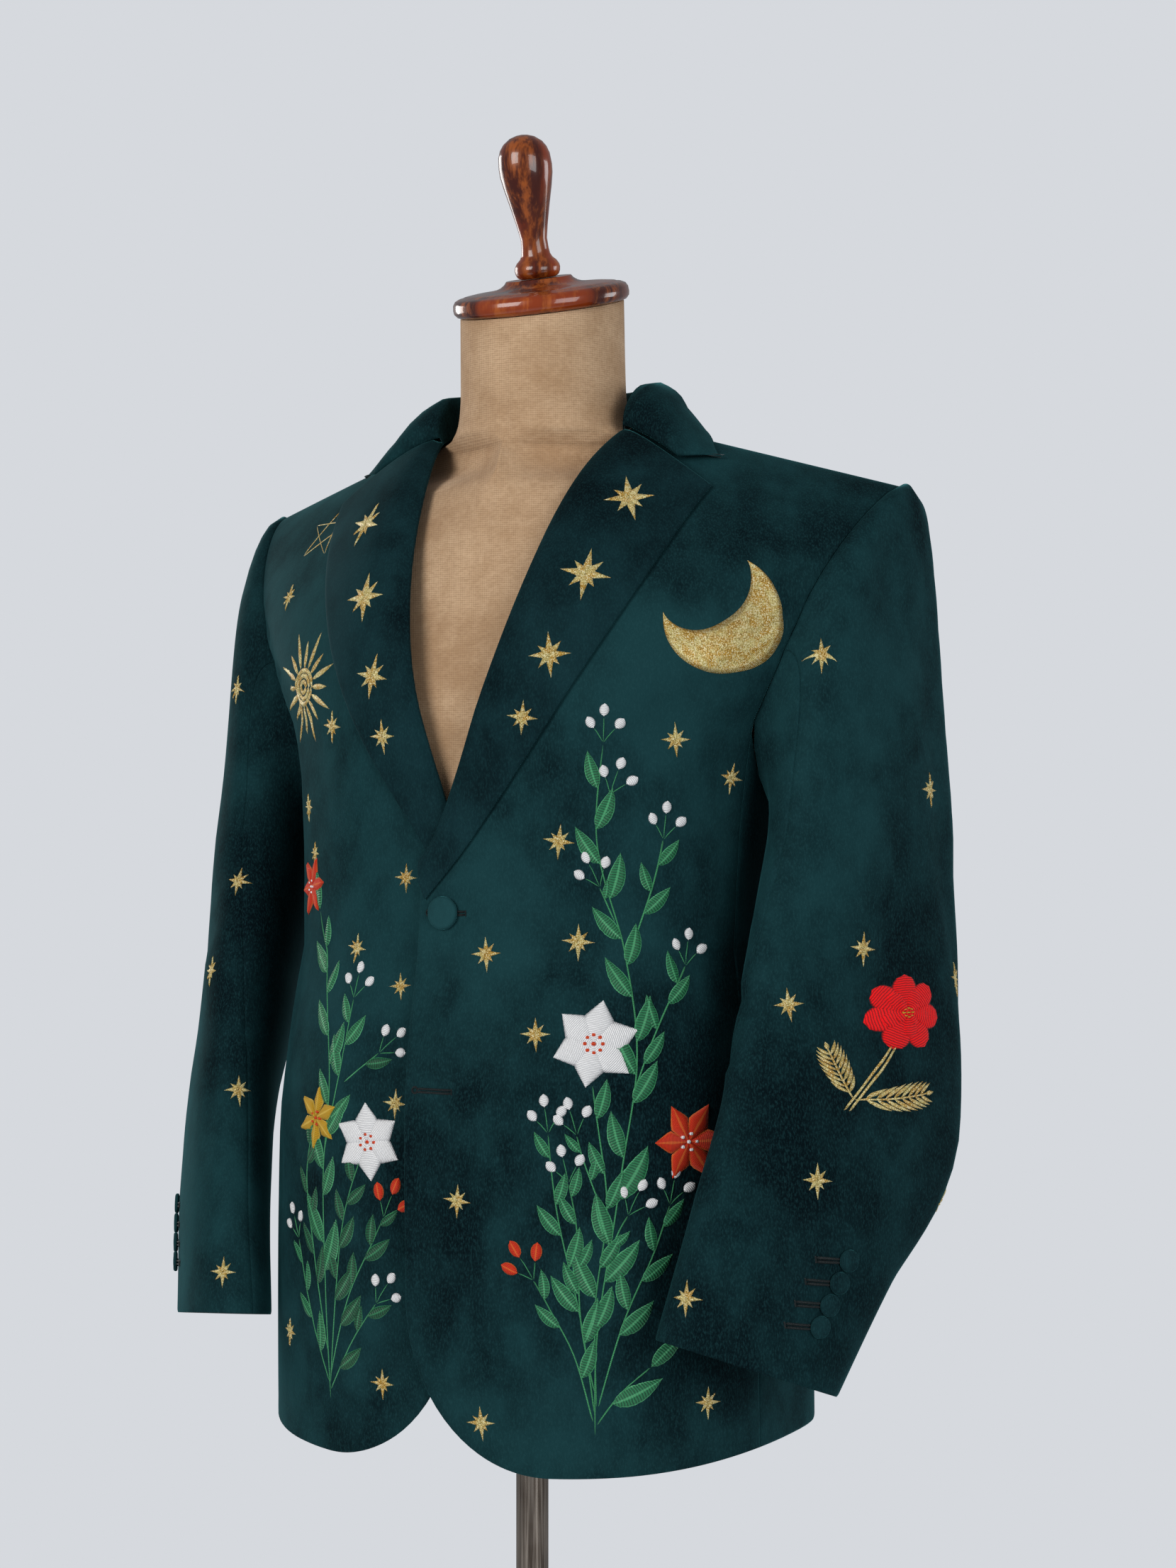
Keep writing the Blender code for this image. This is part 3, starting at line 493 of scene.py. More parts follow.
def ring(round_degrees, along, hem_level=0.0):
    row, centre, down, forward, outer = arm_axes(along)
    turn = radians(round_degrees)
    across, ahead = signed_power(cos(turn), RING_SQUARENESS), signed_power(sin(turn), RING_SQUARENESS)
    point = centre + outer * across * row.thickness / 2 + forward * ahead * row.length / 2
    return point + down * hem_level * ahead * smooth(0.70, 1.0, along)


def turned_ring(round_degrees, down):
    return round_degrees - RING_TURN * sin(radians(round_degrees)) * smooth(0.7, -0.1, down)


def plain_sleeve(round_degrees, along, hem_level=0.0):
    if along >= CAP_SHARE:
        down = (along - CAP_SHARE) / (1 - CAP_SHARE)
        return ring(turned_ring(round_degrees, down), down, hem_level)
    f = max(along, 0.0) / CAP_SHARE
    start = armhole(round_degrees) - Vector((SEWN_IN, 0, 0))
    end = ring(turned_ring(round_degrees, 0), 0)
    under = (1 - cos(radians(round_degrees))) / 2
    centre = Vector((start.x, *ARMHOLE_MIDDLE))
    radial = (start - centre).normalized()
    leave = Vector((1, 0, 0)) * (0.060 * (1 - under) + 0.020 + LEAVE_FRONT * sin(radians(round_degrees)) ** 2)
    leave += radial * (0.018 + 0.040 * (1 - 2 * under) ** 2)
    arrive = arm_axes(0)[2] * (0.30 * (1 - under) + 0.05)
    h0, h1 = 2 * f ** 3 - 3 * f ** 2 + 1, -2 * f ** 3 + 3 * f ** 2
    g0, g1 = f ** 3 - 2 * f ** 2 + f, f ** 3 - f ** 2
    return start * h0 + end * h1 + leave * g0 + arrive * g1


def sleeve(round_degrees, along, hem_level=0.0):
    def near(f):
        return ((round_degrees - f.round + 180) % 360 - 180) * SLEEVE_ROUND
    fade = smooth(0.02, 0.12, along) * smooth(1.0, 0.9, along)
    depth = fold_depth(SLEEVE_FOLDS, near, lambda f: (f.along - along) * SLEEVE_ALONG) * fade
    point = plain_sleeve(round_degrees, along, hem_level)
    if depth < 1e-6:
        return point
    return point - normal_of(plain_sleeve, round_degrees, along, SLEEVE_STEPS) * depth


def sleeve_place(start, end, hem_level):
    def place(u, v):
        return sleeve(between(start, end, u), v, hem_level)
    return place


# ---- Shaders ----

class Value:
    """A shader socket that takes part in plain arithmetic."""

    def __init__(self, paint, socket):
        self.paint, self.socket = paint, socket

    def math(self, operation, other=0.0):
        return self.paint.node("ShaderNodeMath", {0: self, 1: other}, operation=operation)

    def __add__(self, other):
        return self.math("ADD", other)

    def __mul__(self, other):
        return self.math("MULTIPLY", other)

    __radd__, __rmul__ = __add__, __mul__

    def wave(self):
        return self.math("SINE") * 0.5 + 0.5

    def size(self):
        return self.math("ABSOLUTE")


class Paint:
    """A material: constants go to its own sockets, and node() makes any other node."""

    def __init__(self, name, **constants):
        self.material = bpy.data.materials.new(name)
        self.material.use_nodes = True
        self.tree = self.material.node_tree
        self.shader = self.tree.nodes["Principled BSDF"]
        for socket, value in constants.items():
            self.shader.inputs[socket.replace("_", " ")].default_value = value

    def node(self, kind, inputs=(), output=0, **settings):
        made = self.tree.nodes.new(kind)
        for name, value in settings.items():
            setattr(made, name, value)
        for name, value in dict(inputs).items():
            if isinstance(value, Value):
                self.tree.links.new(value.socket, made.inputs[name])
            else:
                made.inputs[name].default_value = value
        return Value(self, made.outputs[output])

    def place(self, stretch=(1, 1, 1)):
        where = self.node("ShaderNodeTexCoord", output="Object")
        return self.node("ShaderNodeMapping", {"Vector": where, "Scale": stretch})

    def split(self, where):
        return [Value(self, socket) for socket in self.node("ShaderNodeSeparateXYZ", {0: where}).socket.node.outputs]

    def noise(self, scale, detail=2.0, rough=0.5, stretch=(1, 1, 1)):
        return self.node("ShaderNodeTexNoise", {"Vector": self.place(stretch), "Scale": scale, "Detail": detail,
                                                "Roughness": rough})

    def ramp(self, value, low, high, start=0.0, end=1.0):
        return self.node("ShaderNodeMapRange", {0: value, 1: low, 2: high, 3: start, 4: end},
                         interpolation_type="SMOOTHSTEP")

    def mix(self, factor, *tones):
        """Two colours blended; each is a Value, or red, green and blue as a screen shows them (0 to 255)."""
        first, second = (tone if isinstance(tone, Value) else colour(*tone) for tone in tones)
        return self.node("ShaderNodeMix", {0: factor, 6: first, 7: second}, output=2, data_type="RGBA")

    def feed(self, socket, value):
        self.tree.links.new(value.socket, self.shader.inputs[socket])

    def finish(self, base, height, distance, strength=1.0, **others):
        """Feeds the colour, the relief and any other sockets, and gives the material."""
        relief = self.node("ShaderNodeBump", {"Height": height, "Distance": distance, "Strength": strength})
        for socket, value in {"Base_Color": base, "Normal": relief, **others}.items():
            self.feed(socket.replace("_", " "), value)
        return self.material


def colour(*screen):
    """A colour as a screen shows it (0 to 255), as the shader takes it."""
    shares = [value / 255 for value in screen]
    return (*(share / 12.92 if share <= 0.04045 else ((share + 0.055) / 1.055) ** 2.4 for share in shares), 1.0)


def velvet_paint(name, depth, dim, bright, sheen):
    """Cotton velvet: a fine pile, and broad patches where the nap is crushed and turns darker or lighter."""
    paint = Paint(name, Roughness=0.92, Sheen_Weight=sheen, Sheen_Roughness=0.30,
                  Sheen_Tint=colour(86, 172, 178), Specular_IOR_Level=0.06)
    pile = paint.noise(900, 2.0, 0.6, (1, 1, 0.45))
    brushed = paint.noise(30, 4.0, 0.62, (1, 1, 0.70))
    crushed = paint.noise(5.5, 4.0, 0.60, (1, 1, 0.8))
    cloth = paint.mix(paint.ramp(brushed * 0.30 + crushed * 0.70, 0.39, 0.66), dim, bright)
    return paint.finish(paint.mix(paint.ramp(pile, 0.40, 0.80, 0.0, depth), cloth, (32, 70, 74)),
                        pile * 0.35 + brushed * 1.2, 0.0005, 0.45, Roughness=paint.ramp(crushed, 0.3, 0.7, 0.98, 0.84))


def lining_paint():
    paint = Paint("satin_lining", Roughness=0.42, Sheen_Weight=0.2, Specular_IOR_Level=0.4)
    weave = paint.noise(1.0, 1.0, stretch=(60, 60, 900))
    return paint.finish(paint.mix(weave, (9, 30, 33), (20, 52, 55)), weave, 0.0001, 0.5)


# middle is a thread's own colour; light is a rim's and midrib's colour, and gold's painted highlight; dark is painted
# shade
def thread_paint(name, middle, light, dark, period=0.00075, slant=2.4, rib=0.0, rim=0.0, shadow=0.35, gloss=0.42,
                 painted_glint=0.0, metal=0.0):
    """Satin stitch: fine threads across the shape, with painted shade between the threads. A leaf has a light rim and
    midrib; threads without a rim have painted shade along the shape's edge; gold has painted glints as bright specks,
    painted shade as dark specks, and lighter patches of painted highlight.
    """
    paint = Paint(name, Roughness=gloss, Metallic=metal, Sheen_Weight=0.04, Specular_IOR_Level=0.35)
    along, across, _ = paint.split(paint.node("ShaderNodeUVMap", uv_map="thread"))
    across = across.size()
    stitch = (along * (2 * pi / period) + across * slant + paint.noise(420) * 3.0).wave()
    # gold's lighter patches are painted highlight; other threads keep their middle tone
    filled = paint.mix(paint.ramp(paint.noise(160), 0.36, 0.64), middle, light if painted_glint else middle)
    # painted shade: between the threads the colour runs to the dark tone
    threads = paint.mix(paint.ramp(stitch, 0.0, 0.55, 0.75, 0.0), filled, dark)
    if painted_glint:
        # painted glints: bright specks on the gold; painted shade: dark specks
        glint_and_shade_specks = paint.noise(1100)
        threads = paint.mix(paint.ramp(glint_and_shade_specks, 0.52, 0.62, 0.0, painted_glint), threads, (255, 244, 196))
        threads = paint.mix(paint.ramp(glint_and_shade_specks, 0.46, 0.38, 0.0, 0.55), threads, dark)
    # painted shade along a shape's edge, by the share named shadow, where there is no light rim
    edge = paint.ramp(across, 0.72, 0.86)
    if rim:
        threads = paint.mix(edge * rim + paint.ramp(across, 0.06, 0.17, rib, 0.0), threads, light)
    else:
        threads = paint.mix(edge * shadow, threads, dark)
    return paint.finish(threads, stitch + edge * 0.5, 0.0004)


def canvas_paint():
    paint = Paint("form_canvas", Roughness=0.90, Sheen_Weight=0.12, Specular_IOR_Level=0.2)
    across, ahead, height = paint.split(paint.place())
    weave = ((across + ahead * 0.6) * 4200).wave() * 0.5 + (height * 4200).wave() * 0.5
    slub = paint.noise(260, 3.0, 0.6, (1, 1, 3))
    base = paint.mix(paint.ramp(paint.noise(16, 5.0, 0.7), 0.34, 0.68), (176, 142, 108), (204, 172, 138))
    return paint.finish(paint.mix(paint.ramp(slub * 0.6 + weave * 0.4, 0.30, 0.66, 0.55, 0.0), base, (140, 108, 78)),
                        weave * 0.5 + slub * 0.8, 0.0004, 0.6)


def wood_paint():
    paint = Paint("lacquered_wood", Roughness=0.24, Coat_Roughness=0.05, Specular_IOR_Level=0.3)
    warp = paint.noise(9, 3.0, 0.6, (1, 1, 0.16))
    grain = paint.noise(95, 4.0, 0.7, (1, 1, 0.16))
    warm = paint.mix(paint.ramp((warp * 26 + grain * 2.6).wave(), 0.15, 0.9), (66, 18, 5), (136, 52, 14))
    return paint.finish(paint.mix(paint.ramp(grain, 0.44, 0.66, 0.0, 0.60), warm, (186, 96, 30)), grain, 0.00008, 0.4,
                        Roughness=paint.ramp(grain, 0.3, 0.7, 0.18, 0.32),
                        Coat_Weight=paint.ramp(warp, 0.2, 0.8, 0.55, 0.75))


def steel_paint():
    paint = Paint("brushed_steel", Metallic=1.0, Roughness=0.36)
    brushed = paint.noise(700, 2.0, 0.6, (1, 1, 0.02))
    worn = paint.noise(20, 3.0)
    tone = paint.mix(paint.ramp(worn, 0.3, 0.7), (96, 84, 74), (132, 122, 112))
    return paint.finish(paint.mix(paint.ramp(brushed, 0.3, 0.7), tone, (160, 150, 140)), brushed, 0.00005, 0.5,
                        Roughness=paint.ramp(brushed + worn * 0.5, 0.4, 1.0, 0.28, 0.48))


def base_paint():
    paint = Paint("powder_coat", Roughness=0.5, Specular_IOR_Level=0.45)
    scuff = paint.noise(30, 4.0, 0.7)
    return paint.finish(paint.mix(paint.ramp(scuff, 0.5, 0.75), (30, 29, 29), (52, 50, 48)), paint.noise(900), 0.0002,
                        0.35, Roughness=paint.ramp(scuff, 0.3, 0.7, 0.42, 0.62))


velvet = velvet_paint("velvet_cotton", 0.44, (3, 16, 21), (22, 57, 61), 0.38)
# the lapels' velvet: darker colours and less sheen than the rest, painted shade
shaded_turned_velvet = velvet_paint("velvet_turned_painted_shade", 0.30, (2, 12, 17), (17, 46, 51), 0.26)
# the buttons' velvet: lighter colours than the rest, painted highlight on the stretched covers; the stronger sheen is
# the shader's own
lit_button_velvet = velvet_paint("velvet_stretched_painted_highlight", 0.50, (5, 20, 25), (30, 68, 72), 0.60)
lining = lining_paint()
canvas, wood, steel, painted = canvas_paint(), wood_paint(), steel_paint(), base_paint()

LEAFY = {"rib": 0.45, "rim": 0.75, "period": 0.0018}
BRIGHT = {"rib": 0.4, "gloss": 0.6}
THREADS = {name: thread_paint(f"thread_{name}", *tones, **rest) for name, tones, rest in (
    # gold: painted glints and painted highlight patches, in the gold's own light tone
    ("gold", ((236, 186, 74), (255, 236, 150), (96, 64, 18)),
     {"shadow": 0.45, "gloss": 0.34, "painted_glint": 0.95, "metal": 0.12}),
    ("leaf", ((38, 118, 76), (98, 194, 134), (4, 40, 28)), LEAFY),
    ("deep_leaf", ((20, 84, 54), (60, 150, 100), (3, 28, 20)), LEAFY),
    ("stem", ((78, 172, 112), (120, 196, 146), (24, 80, 52)), {"slant": 0.0}),
    ("white", ((248, 248, 248), (255, 255, 255), (176, 176, 180)), {"period": 0.0012, "shadow": 0.85, "gloss": 0.8}),
    ("orange", ((244, 56, 10), (255, 150, 60), (120, 16, 4)), {"rim": 0.40, **BRIGHT}),
    ("red", ((252, 2, 10), (255, 60, 50), (84, 0, 6)), {"shadow": 1.0, "period": 0.0016, "gloss": 0.85}),
    ("yellow", ((226, 176, 26), (255, 226, 110), (120, 78, 8)), {"rim": 0.5, **BRIGHT}),
    ("dark", ((8, 24, 27), (14, 38, 40), (2, 8, 10)), {"slant": 0.0, "gloss": 0.6}))}


# ---- Velvet panels ----

EDGE_ROLL = 0.0030       # a panel's edge sinks into its seam, or rounds over, across this width
EDGE_SINK, INNER_SINK = 0.00055, 0.6   # how deep it sinks, and the inner face's share of that
PACKED_ENDS = 0.86       # how much closer a panel's rows lie at its edges
TURNED_WALL = 0.0014     # of the lapels and the collar


def packed(share):
    """Grid rows drawn towards both ends of a panel, so that its edges are round."""
    return share - PACKED_ENDS * sin(2 * pi * share) / (2 * pi)


def linked(name, data):
    piece = bpy.data.objects.new(name, data)
    bpy.context.scene.collection.objects.link(piece)
    return piece


def object_from(mesh, name, finishes):
    data = bpy.data.meshes.new(name)
    mesh.to_mesh(data)
    mesh.free()
    for finish in finishes:
        data.materials.append(finish)
    data.shade_smooth()
    return linked(name, data)


def piece_from(mesh, name, finishes, node=None, slot=None):
    """A piece that rides the part. With a node named, it takes the node's place, and the node's part is hidden. The
    slot is not used.
    """
    piece = object_from(mesh, name, finishes)
    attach(piece, "root")
    if node:
        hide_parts(node)
    return piece


def panel(node, place, across, along, seams, side=1, wall=WALL, centred=False):
    """A velvet panel: a fine grid on its surface, with a lined wall inside it and rolled edges.

    seams names the sewn edges as the wearer's left has them. A centred panel's u1 edge lies at the back's centre.
    """
    place = side_flip(place, side)
    start, end = ("u0", "u1") if side > 0 else ("u1", "u0")
    mesh = bmesh.new()
    bmesh.ops.create_grid(mesh, x_segments=across, y_segments=along, size=0.5)
    shares, rows = {}, {}
    for vertex in mesh.verts:
        i, j = shares[vertex] = round((vertex.co.x + 0.5) * across), round((vertex.co.y + 0.5) * along)
        vertex.co = rows[i, j] = place(packed(i / across), packed(j / along))
    mesh.normal_update()
    normals = {vertex: vertex.normal.copy() for vertex in mesh.verts}
    copy = bmesh.ops.duplicate(mesh, geom=mesh.verts[:] + mesh.edges[:] + mesh.faces[:])
    inner_faces = [f for f in copy["geom"] if isinstance(f, bmesh.types.BMFace)]
    bmesh.ops.reverse_faces(mesh, faces=inner_faces)
    for face in inner_faces:
        face.material_index = 1
    pairs = copy["vert_map"]
    for vertex, (i, j) in shares.items():
        point, sink, twin = rows[i, j], 0.0, pairs[vertex]
        for seam, edge, beside in ((start, (0, j), (1, j)), (end, (across, j), (across - 1, j)),
                                   ("v0", (i, 0), (i, 1)), ("v1", (i, along), (i, along - 1))):
            away = (rows[i, j] - rows[edge]).length
            if away < EDGE_ROLL:
                sink = max(sink, EDGE_SINK * (1 - away / EDGE_ROLL) ** 2)
            if (i, j) == edge and seam in seams:
                di, dj = (1, 0) if seam[0] == "v" else (0, 1)
                run = rows[min(i + di, across), min(j + dj, along)] - rows[max(i - di, 0), max(j - dj, 0)]
                back = rows[beside] - rows[edge]
                point = point + (back - back.project(run)).normalized() * HOLD_BACK
        normal = normals[vertex]
        vertex.co, twin.co = point - normal * sink, point - normal * (wall - sink * INNER_SINK)
        if centred and i == (across if side > 0 else 0):
            vertex.co.x = twin.co.x = side * GAP * 0.6
    bmesh.ops.bridge_loops(mesh, edges=[e for e in mesh.edges if e.is_boundary])
    # on what is folded back the velvet is a darker copy with less sheen: painted shade, for the nap that lies the other
    # way
    finish = shaded_turned_velvet if node.startswith("lapel") else velvet
    return piece_from(mesh, f"velvet_{node}", [finish, lining], node, "velvet")


def make_panels():
    made = {}
    for word, side in (("left", 1), ("right", -1)):
        under = side < 0
        level = HEM_LEVEL_RIGHT if under else HEM_LEVEL_LEFT
        for kind, place, across, along, seams, *rest in (
                ("front", front_place(under), 34, 84, "u1 v1"), ("side", side_place, 16, 44, "u0 u1"),
                ("back", back_place, 26, 70, "u0 v1", WALL, True),
                ("lapel", lapel_place(under), 30, 44, "v1", TURNED_WALL),
                ("sleeve_top", sleeve_place(SLEEVE_BACK_SEAM - 360, SLEEVE_FRONT_SEAM, level), 34, 84, "u0 u1"),
                ("sleeve_under", sleeve_place(SLEEVE_FRONT_SEAM, SLEEVE_BACK_SEAM, level), 20, 84, "u0 u1")):
            node = f"{kind}_{word}"
            made[node] = panel(node, place, across, along, seams, side, *rest)
    made["collar"] = panel("collar", collar_place, 26, 60, "v0 v1", wall=TURNED_WALL)
    return made


panels = make_panels()


# ---- Embroidery ----

THREAD_WALL = 0.0005
EDGE_DEPTH = -0.0003     # a stitched shape's edge is drawn into the pile
REACH = 0.0035           # how far off the cloth a stitch may be before it is seated
THINNEST = 0.00012       # half the width that a shape keeps at its tips
LINE_STEP = 0.006        # a stem's grid step
FIRST_LEAF, LAST_LEAF = 0.22, 0.94   # shares of a stem


def front_surface(side):
    """The front as a viewer reads it: across from the centre, positive to the wearer's left, and height."""
    def place(across, height):
        return on_side(side, front_at(across * side, height, side < 0))
    return place


SURFACES = {  # name: place function and the small step that its slopes are taken over
    "front_left": (front_surface(1), 0.002), "front_right": (front_surface(-1), 0.002),
    "lapel_left": (lapel_place(False), 0.006), "lapel_right": (side_flip(lapel_place(True), -1), 0.006),
    "sleeve_left": (sleeve_place(0, 360, HEM_LEVEL_LEFT), 0.004),
    "sleeve_right": (side_flip(sleeve_place(0, 360, HEM_LEVEL_RIGHT), -1), 0.004)}


def spot(surface, a, b, wide=1.0):
    """Lays flat shapes, in metres, on the cloth round one place: across to the viewer's right, and up."""
    place, step = SURFACES[surface]
    across = (place(a + step, b) - place(a - step, b)) / (2 * step)
    along = (place(a, b + step) - place(a, b - step)) / (2 * step)
    normal = across.cross(along).normalized()
    up = (Vector((0, 0, 1)) - normal * normal.z).normalized()
    right = up.cross(normal)
    aa, ab, bb = across.dot(across), across.dot(along), along.dot(along)
    whole = aa * bb - ab * ab

    def lay(x, y):
        want = right * x * wide + up * y
        on_a, on_b = want.dot(across), want.dot(along)
        return place(a + (on_a * bb - on_b * ab) / whole, b + (on_b * aa - on_a * ab) / whole)
    return lay


def round_share(surface, degrees):
    """The place round a sleeve, in degrees from its outer side, as its surface reads it."""
    return degrees / 360 if surface == "sleeve_left" else 1 - degrees / 360


def off(heading, away, x=0.0, y=0.0):
    return x + cos(heading) * away, y + sin(heading) * away


def heading_to(start, end):
    return atan2(end[1] - start[1], end[0] - start[0])


def in_metres(points):
    return [(a / 1000, b / 1000) for a, b in points]


def run_length(points):
    return sum(hypot(q[0] - p[0], q[1] - p[1]) for p, q in zip(points, points[1:]))


def run_along(points, share):
    """A place on the smooth curve through the points."""
    last = len(points) - 1
    at = clamped(share) * last
    i = min(int(at), last - 1)
    f = at - i
    before, start, end, after = points[max(i - 1, 0)], points[i], points[i + 1], points[min(i + 2, last)]
    return tuple(0.5 * (2 * s + (e - b) * f + (2 * b - 5 * s + 4 * e - a) * f * f + (3 * s - b - 3 * e + a) * f ** 3)
                 for b, s, e, a in zip(before, start, end, after))


SHAPES = {  # half width, as a share of a shape's own, along it
    "leaf": lambda t: sin(pi * t ** 0.80) ** 0.95,
    "petal": lambda t: (t / 0.52) ** 0.85 if t < 0.52 else ((1 - t) / 0.48) ** 0.95,
    "round_petal": lambda t: (t / 0.6) ** 0.8 if t < 0.6 else sqrt(max(1 - ((t - 0.6) / 0.4) ** 2, 0)),
    "ray": lambda t: 0.30 + 0.70 * t / 0.30 if t < 0.30 else (1 - t) / 0.70,
    "bud": lambda t: sin(pi * t) ** 0.55,
    "moon": lambda t: sin(pi * t) ** 1.10,
    "line": lambda t: 1.0}

STAR_RAYS = ((0, 1.00), (4, 0.66), (-3, 0.94), (2, 0.74), (3, 1.06), (-4, 0.62), (0, 0.90), (3, 0.76))
BUDS = {"white": (0.0088, 0.0076), "orange": (0.0130, 0.0088)}   # length and width
BUD_STALKS = ((-0.62, 0.013), (0.05, 0.018), (0.66, 0.012))      # turn from the stem, and length


def seated(point, normal, cloth):
    for velvet_piece in cloth:
        met, place, _, _ = velvet_piece.ray_cast(point + normal * REACH, -normal, distance=REACH * 2)
        if met:
            return place
    return point


class Stitching:
    """Raised satin-stitch shapes on one stretch of cloth."""

    def __init__(self, name):
        self.name, self.mesh = name, bmesh.new()
        self.uv = self.mesh.loops.layers.uv.new("thread")
        self.rises, self.threads = {}, []

    def strip(self, lay, middle, half, length, thread, rows=8, columns=4, rise=0.0008, edge=EDGE_DEPTH):
        """A domed strip: middle(t) gives its place and heading, and half(t) half its width."""
        if thread not in self.threads:
            self.threads.append(thread)
        made = bmesh.ops.create_grid(self.mesh, x_segments=rows, y_segments=columns, size=0.5)["verts"]
        marks = {}
        for vertex in made:
            t, s = vertex.co.x + 0.5, vertex.co.y * 2
            x, y, heading = middle(t)
            out = max(half(t), THINNEST) * s
            vertex.co = lay(x - sin(heading) * out, y + cos(heading) * out)
            marks[vertex] = (t * length, s)
            self.rises[vertex] = edge + (rise - edge) * (1 - s ** 4) * min(1, 12 * t + 0.3, 12 * (1 - t) + 0.3)
        for face in {f for v in made for f in v.link_faces}:
            face.material_index = self.threads.index(thread)
            for loop in face.loops:
                loop[self.uv].uv = marks[loop.vert]

    def blade(self, lay, x, y, heading, length, width, thread, shape="leaf", bend=0.0, **grid):
        def middle(t):
            now = heading + bend * t
            if abs(bend) < 0.02:
                return *off(heading, length * t, x, y), now
            bow = length / bend
            return x + (sin(now) - sin(heading)) * bow, y - (cos(now) - cos(heading)) * bow, now
        self.strip(lay, middle, lambda t: width / 2 * SHAPES[shape](t), length, thread, **grid)

    def line(self, lay, points, width, thread="stem", rise=0.0005, rows=None):
        length = run_length(points)

        def middle(t):
            ahead, behind = run_along(points, min(t + 0.01, 1)), run_along(points, max(t - 0.01, 0))
            return *run_along(points, t), heading_to(behind, ahead)
        self.strip(lay, middle, lambda t: width / 2, length, thread, rows or max(4, round(length / LINE_STEP)), 2, rise)

    def star(self, lay, radius, turn):
        """Eight rays, turned and sized as if by hand."""
        for ray, (aside, length) in enumerate(STAR_RAYS):
            self.blade(lay, 0, 0, radians(turn + 45 * ray + aside), radius * length, radius * 0.40, "gold", "ray",
                       rows=6, columns=2, rise=0.0009)

    def knots(self, lay, count, away, size, thread, rise, columns=4):
        """One knot in the middle, and the others in a ring round it."""
        for knot in range(count):
            x, y = off(2 * pi * knot / (count - 1), away if knot else 0.0)
            self.blade(lay, x - size / 2, y, 0.0, size, size, thread, "bud", rows=4, columns=columns, rise=rise)

    def flower(self, lay, radius, thread, turn, wide, heart, knots):
        for petal in range(6):
            self.blade(lay, 0, 0, radians(turn + 60 * petal), radius, radius * wide, thread, "petal", rows=10,
                       rise=0.0016 + 0.0001 * (petal % 2))
        self.knots(lay, knots, radius * 0.20, radius * 0.13, heart, 0.0020)

    def feather(self, lay, x, y, heading, length):
        """A gold leaf of many small leaflets on a rib."""
        self.blade(lay, x, y, heading, length, 0.0016, "gold", "line", columns=2, rise=0.0009)
        for number in range(8):
            t = 0.12 + 0.82 * number / 8
            size = length * 0.32 * sin(pi * (0.18 + 0.74 * t)) + 0.003
            for hand in (1, -1):
                self.blade(lay, *off(heading, length * t, x, y), heading + hand * 0.75, size, 0.0029, "gold",
                           bend=-hand * 0.4, rows=5, columns=2, rise=0.0011)
        self.blade(lay, *off(heading, length * 0.94, x, y), heading, length * 0.16, 0.0036, "gold", rows=4, columns=2,
                   rise=0.0012)

    def spray(self, surface, points, leaf, every, ends="white", thread="leaf"):
        """A stem with leaves on both sides in turn, and what it ends in."""
        self.line(SURFACES[surface][0], points, 0.0014)
        count = max(1, round(run_length(points) * (LAST_LEAF - FIRST_LEAF) / every))
        for number in range(count):
            t = FIRST_LEAF + (LAST_LEAF - FIRST_LEAF) * (number + 0.5 * draw.random()) / count
            foot = run_along(points, t)
            heading = heading_to(foot, run_along(points, min(t + 0.02, 1.0)))
            hand = 1 if number % 2 else -1
            size = leaf * (1.16 - 0.42 * t) * (0.86 + 0.28 * draw.random())
            self.blade(spot(surface, *foot), 0, 0, heading + hand * (0.50 + 0.20 * draw.random()), size, size * 0.42,
                       thread, bend=-hand * 0.30, rise=0.0009)
        heading = heading_to(run_along(points, 0.97), points[-1])
        lay = spot(surface, *points[-1])
        if ends in BUDS:
            for turn, away in BUD_STALKS:
                tip = off(heading + turn, away)
                self.line(lay, [(0, 0), (tip[0] * 0.5, tip[1] * 0.56), tip], 0.0010, rows=3)
                self.blade(lay, *tip, heading + turn, *BUDS[ends], ends, "bud", rows=6, rise=0.0015)
        elif ends == "leaf":
            self.blade(lay, 0, 0, heading, leaf * 0.9, leaf * 0.36, thread)

    def finish(self, cloth=()):
        """Seats every stitch on the velvet of the given panels, where they reach, and gives the threads a wall."""
        self.mesh.normal_update()
        lifted = {vertex: seated(vertex.co, vertex.normal, cloth) + vertex.normal * rise
                  for vertex, rise in self.rises.items()}
        for vertex, point in lifted.items():
            vertex.co = point
        piece = piece_from(self.mesh, self.name, [THREADS[name] for name in self.threads])
        wall = piece.modifiers.new("wall", "SOLIDIFY")
        wall.thickness, wall.offset = THREAD_WALL, -1
        return piece


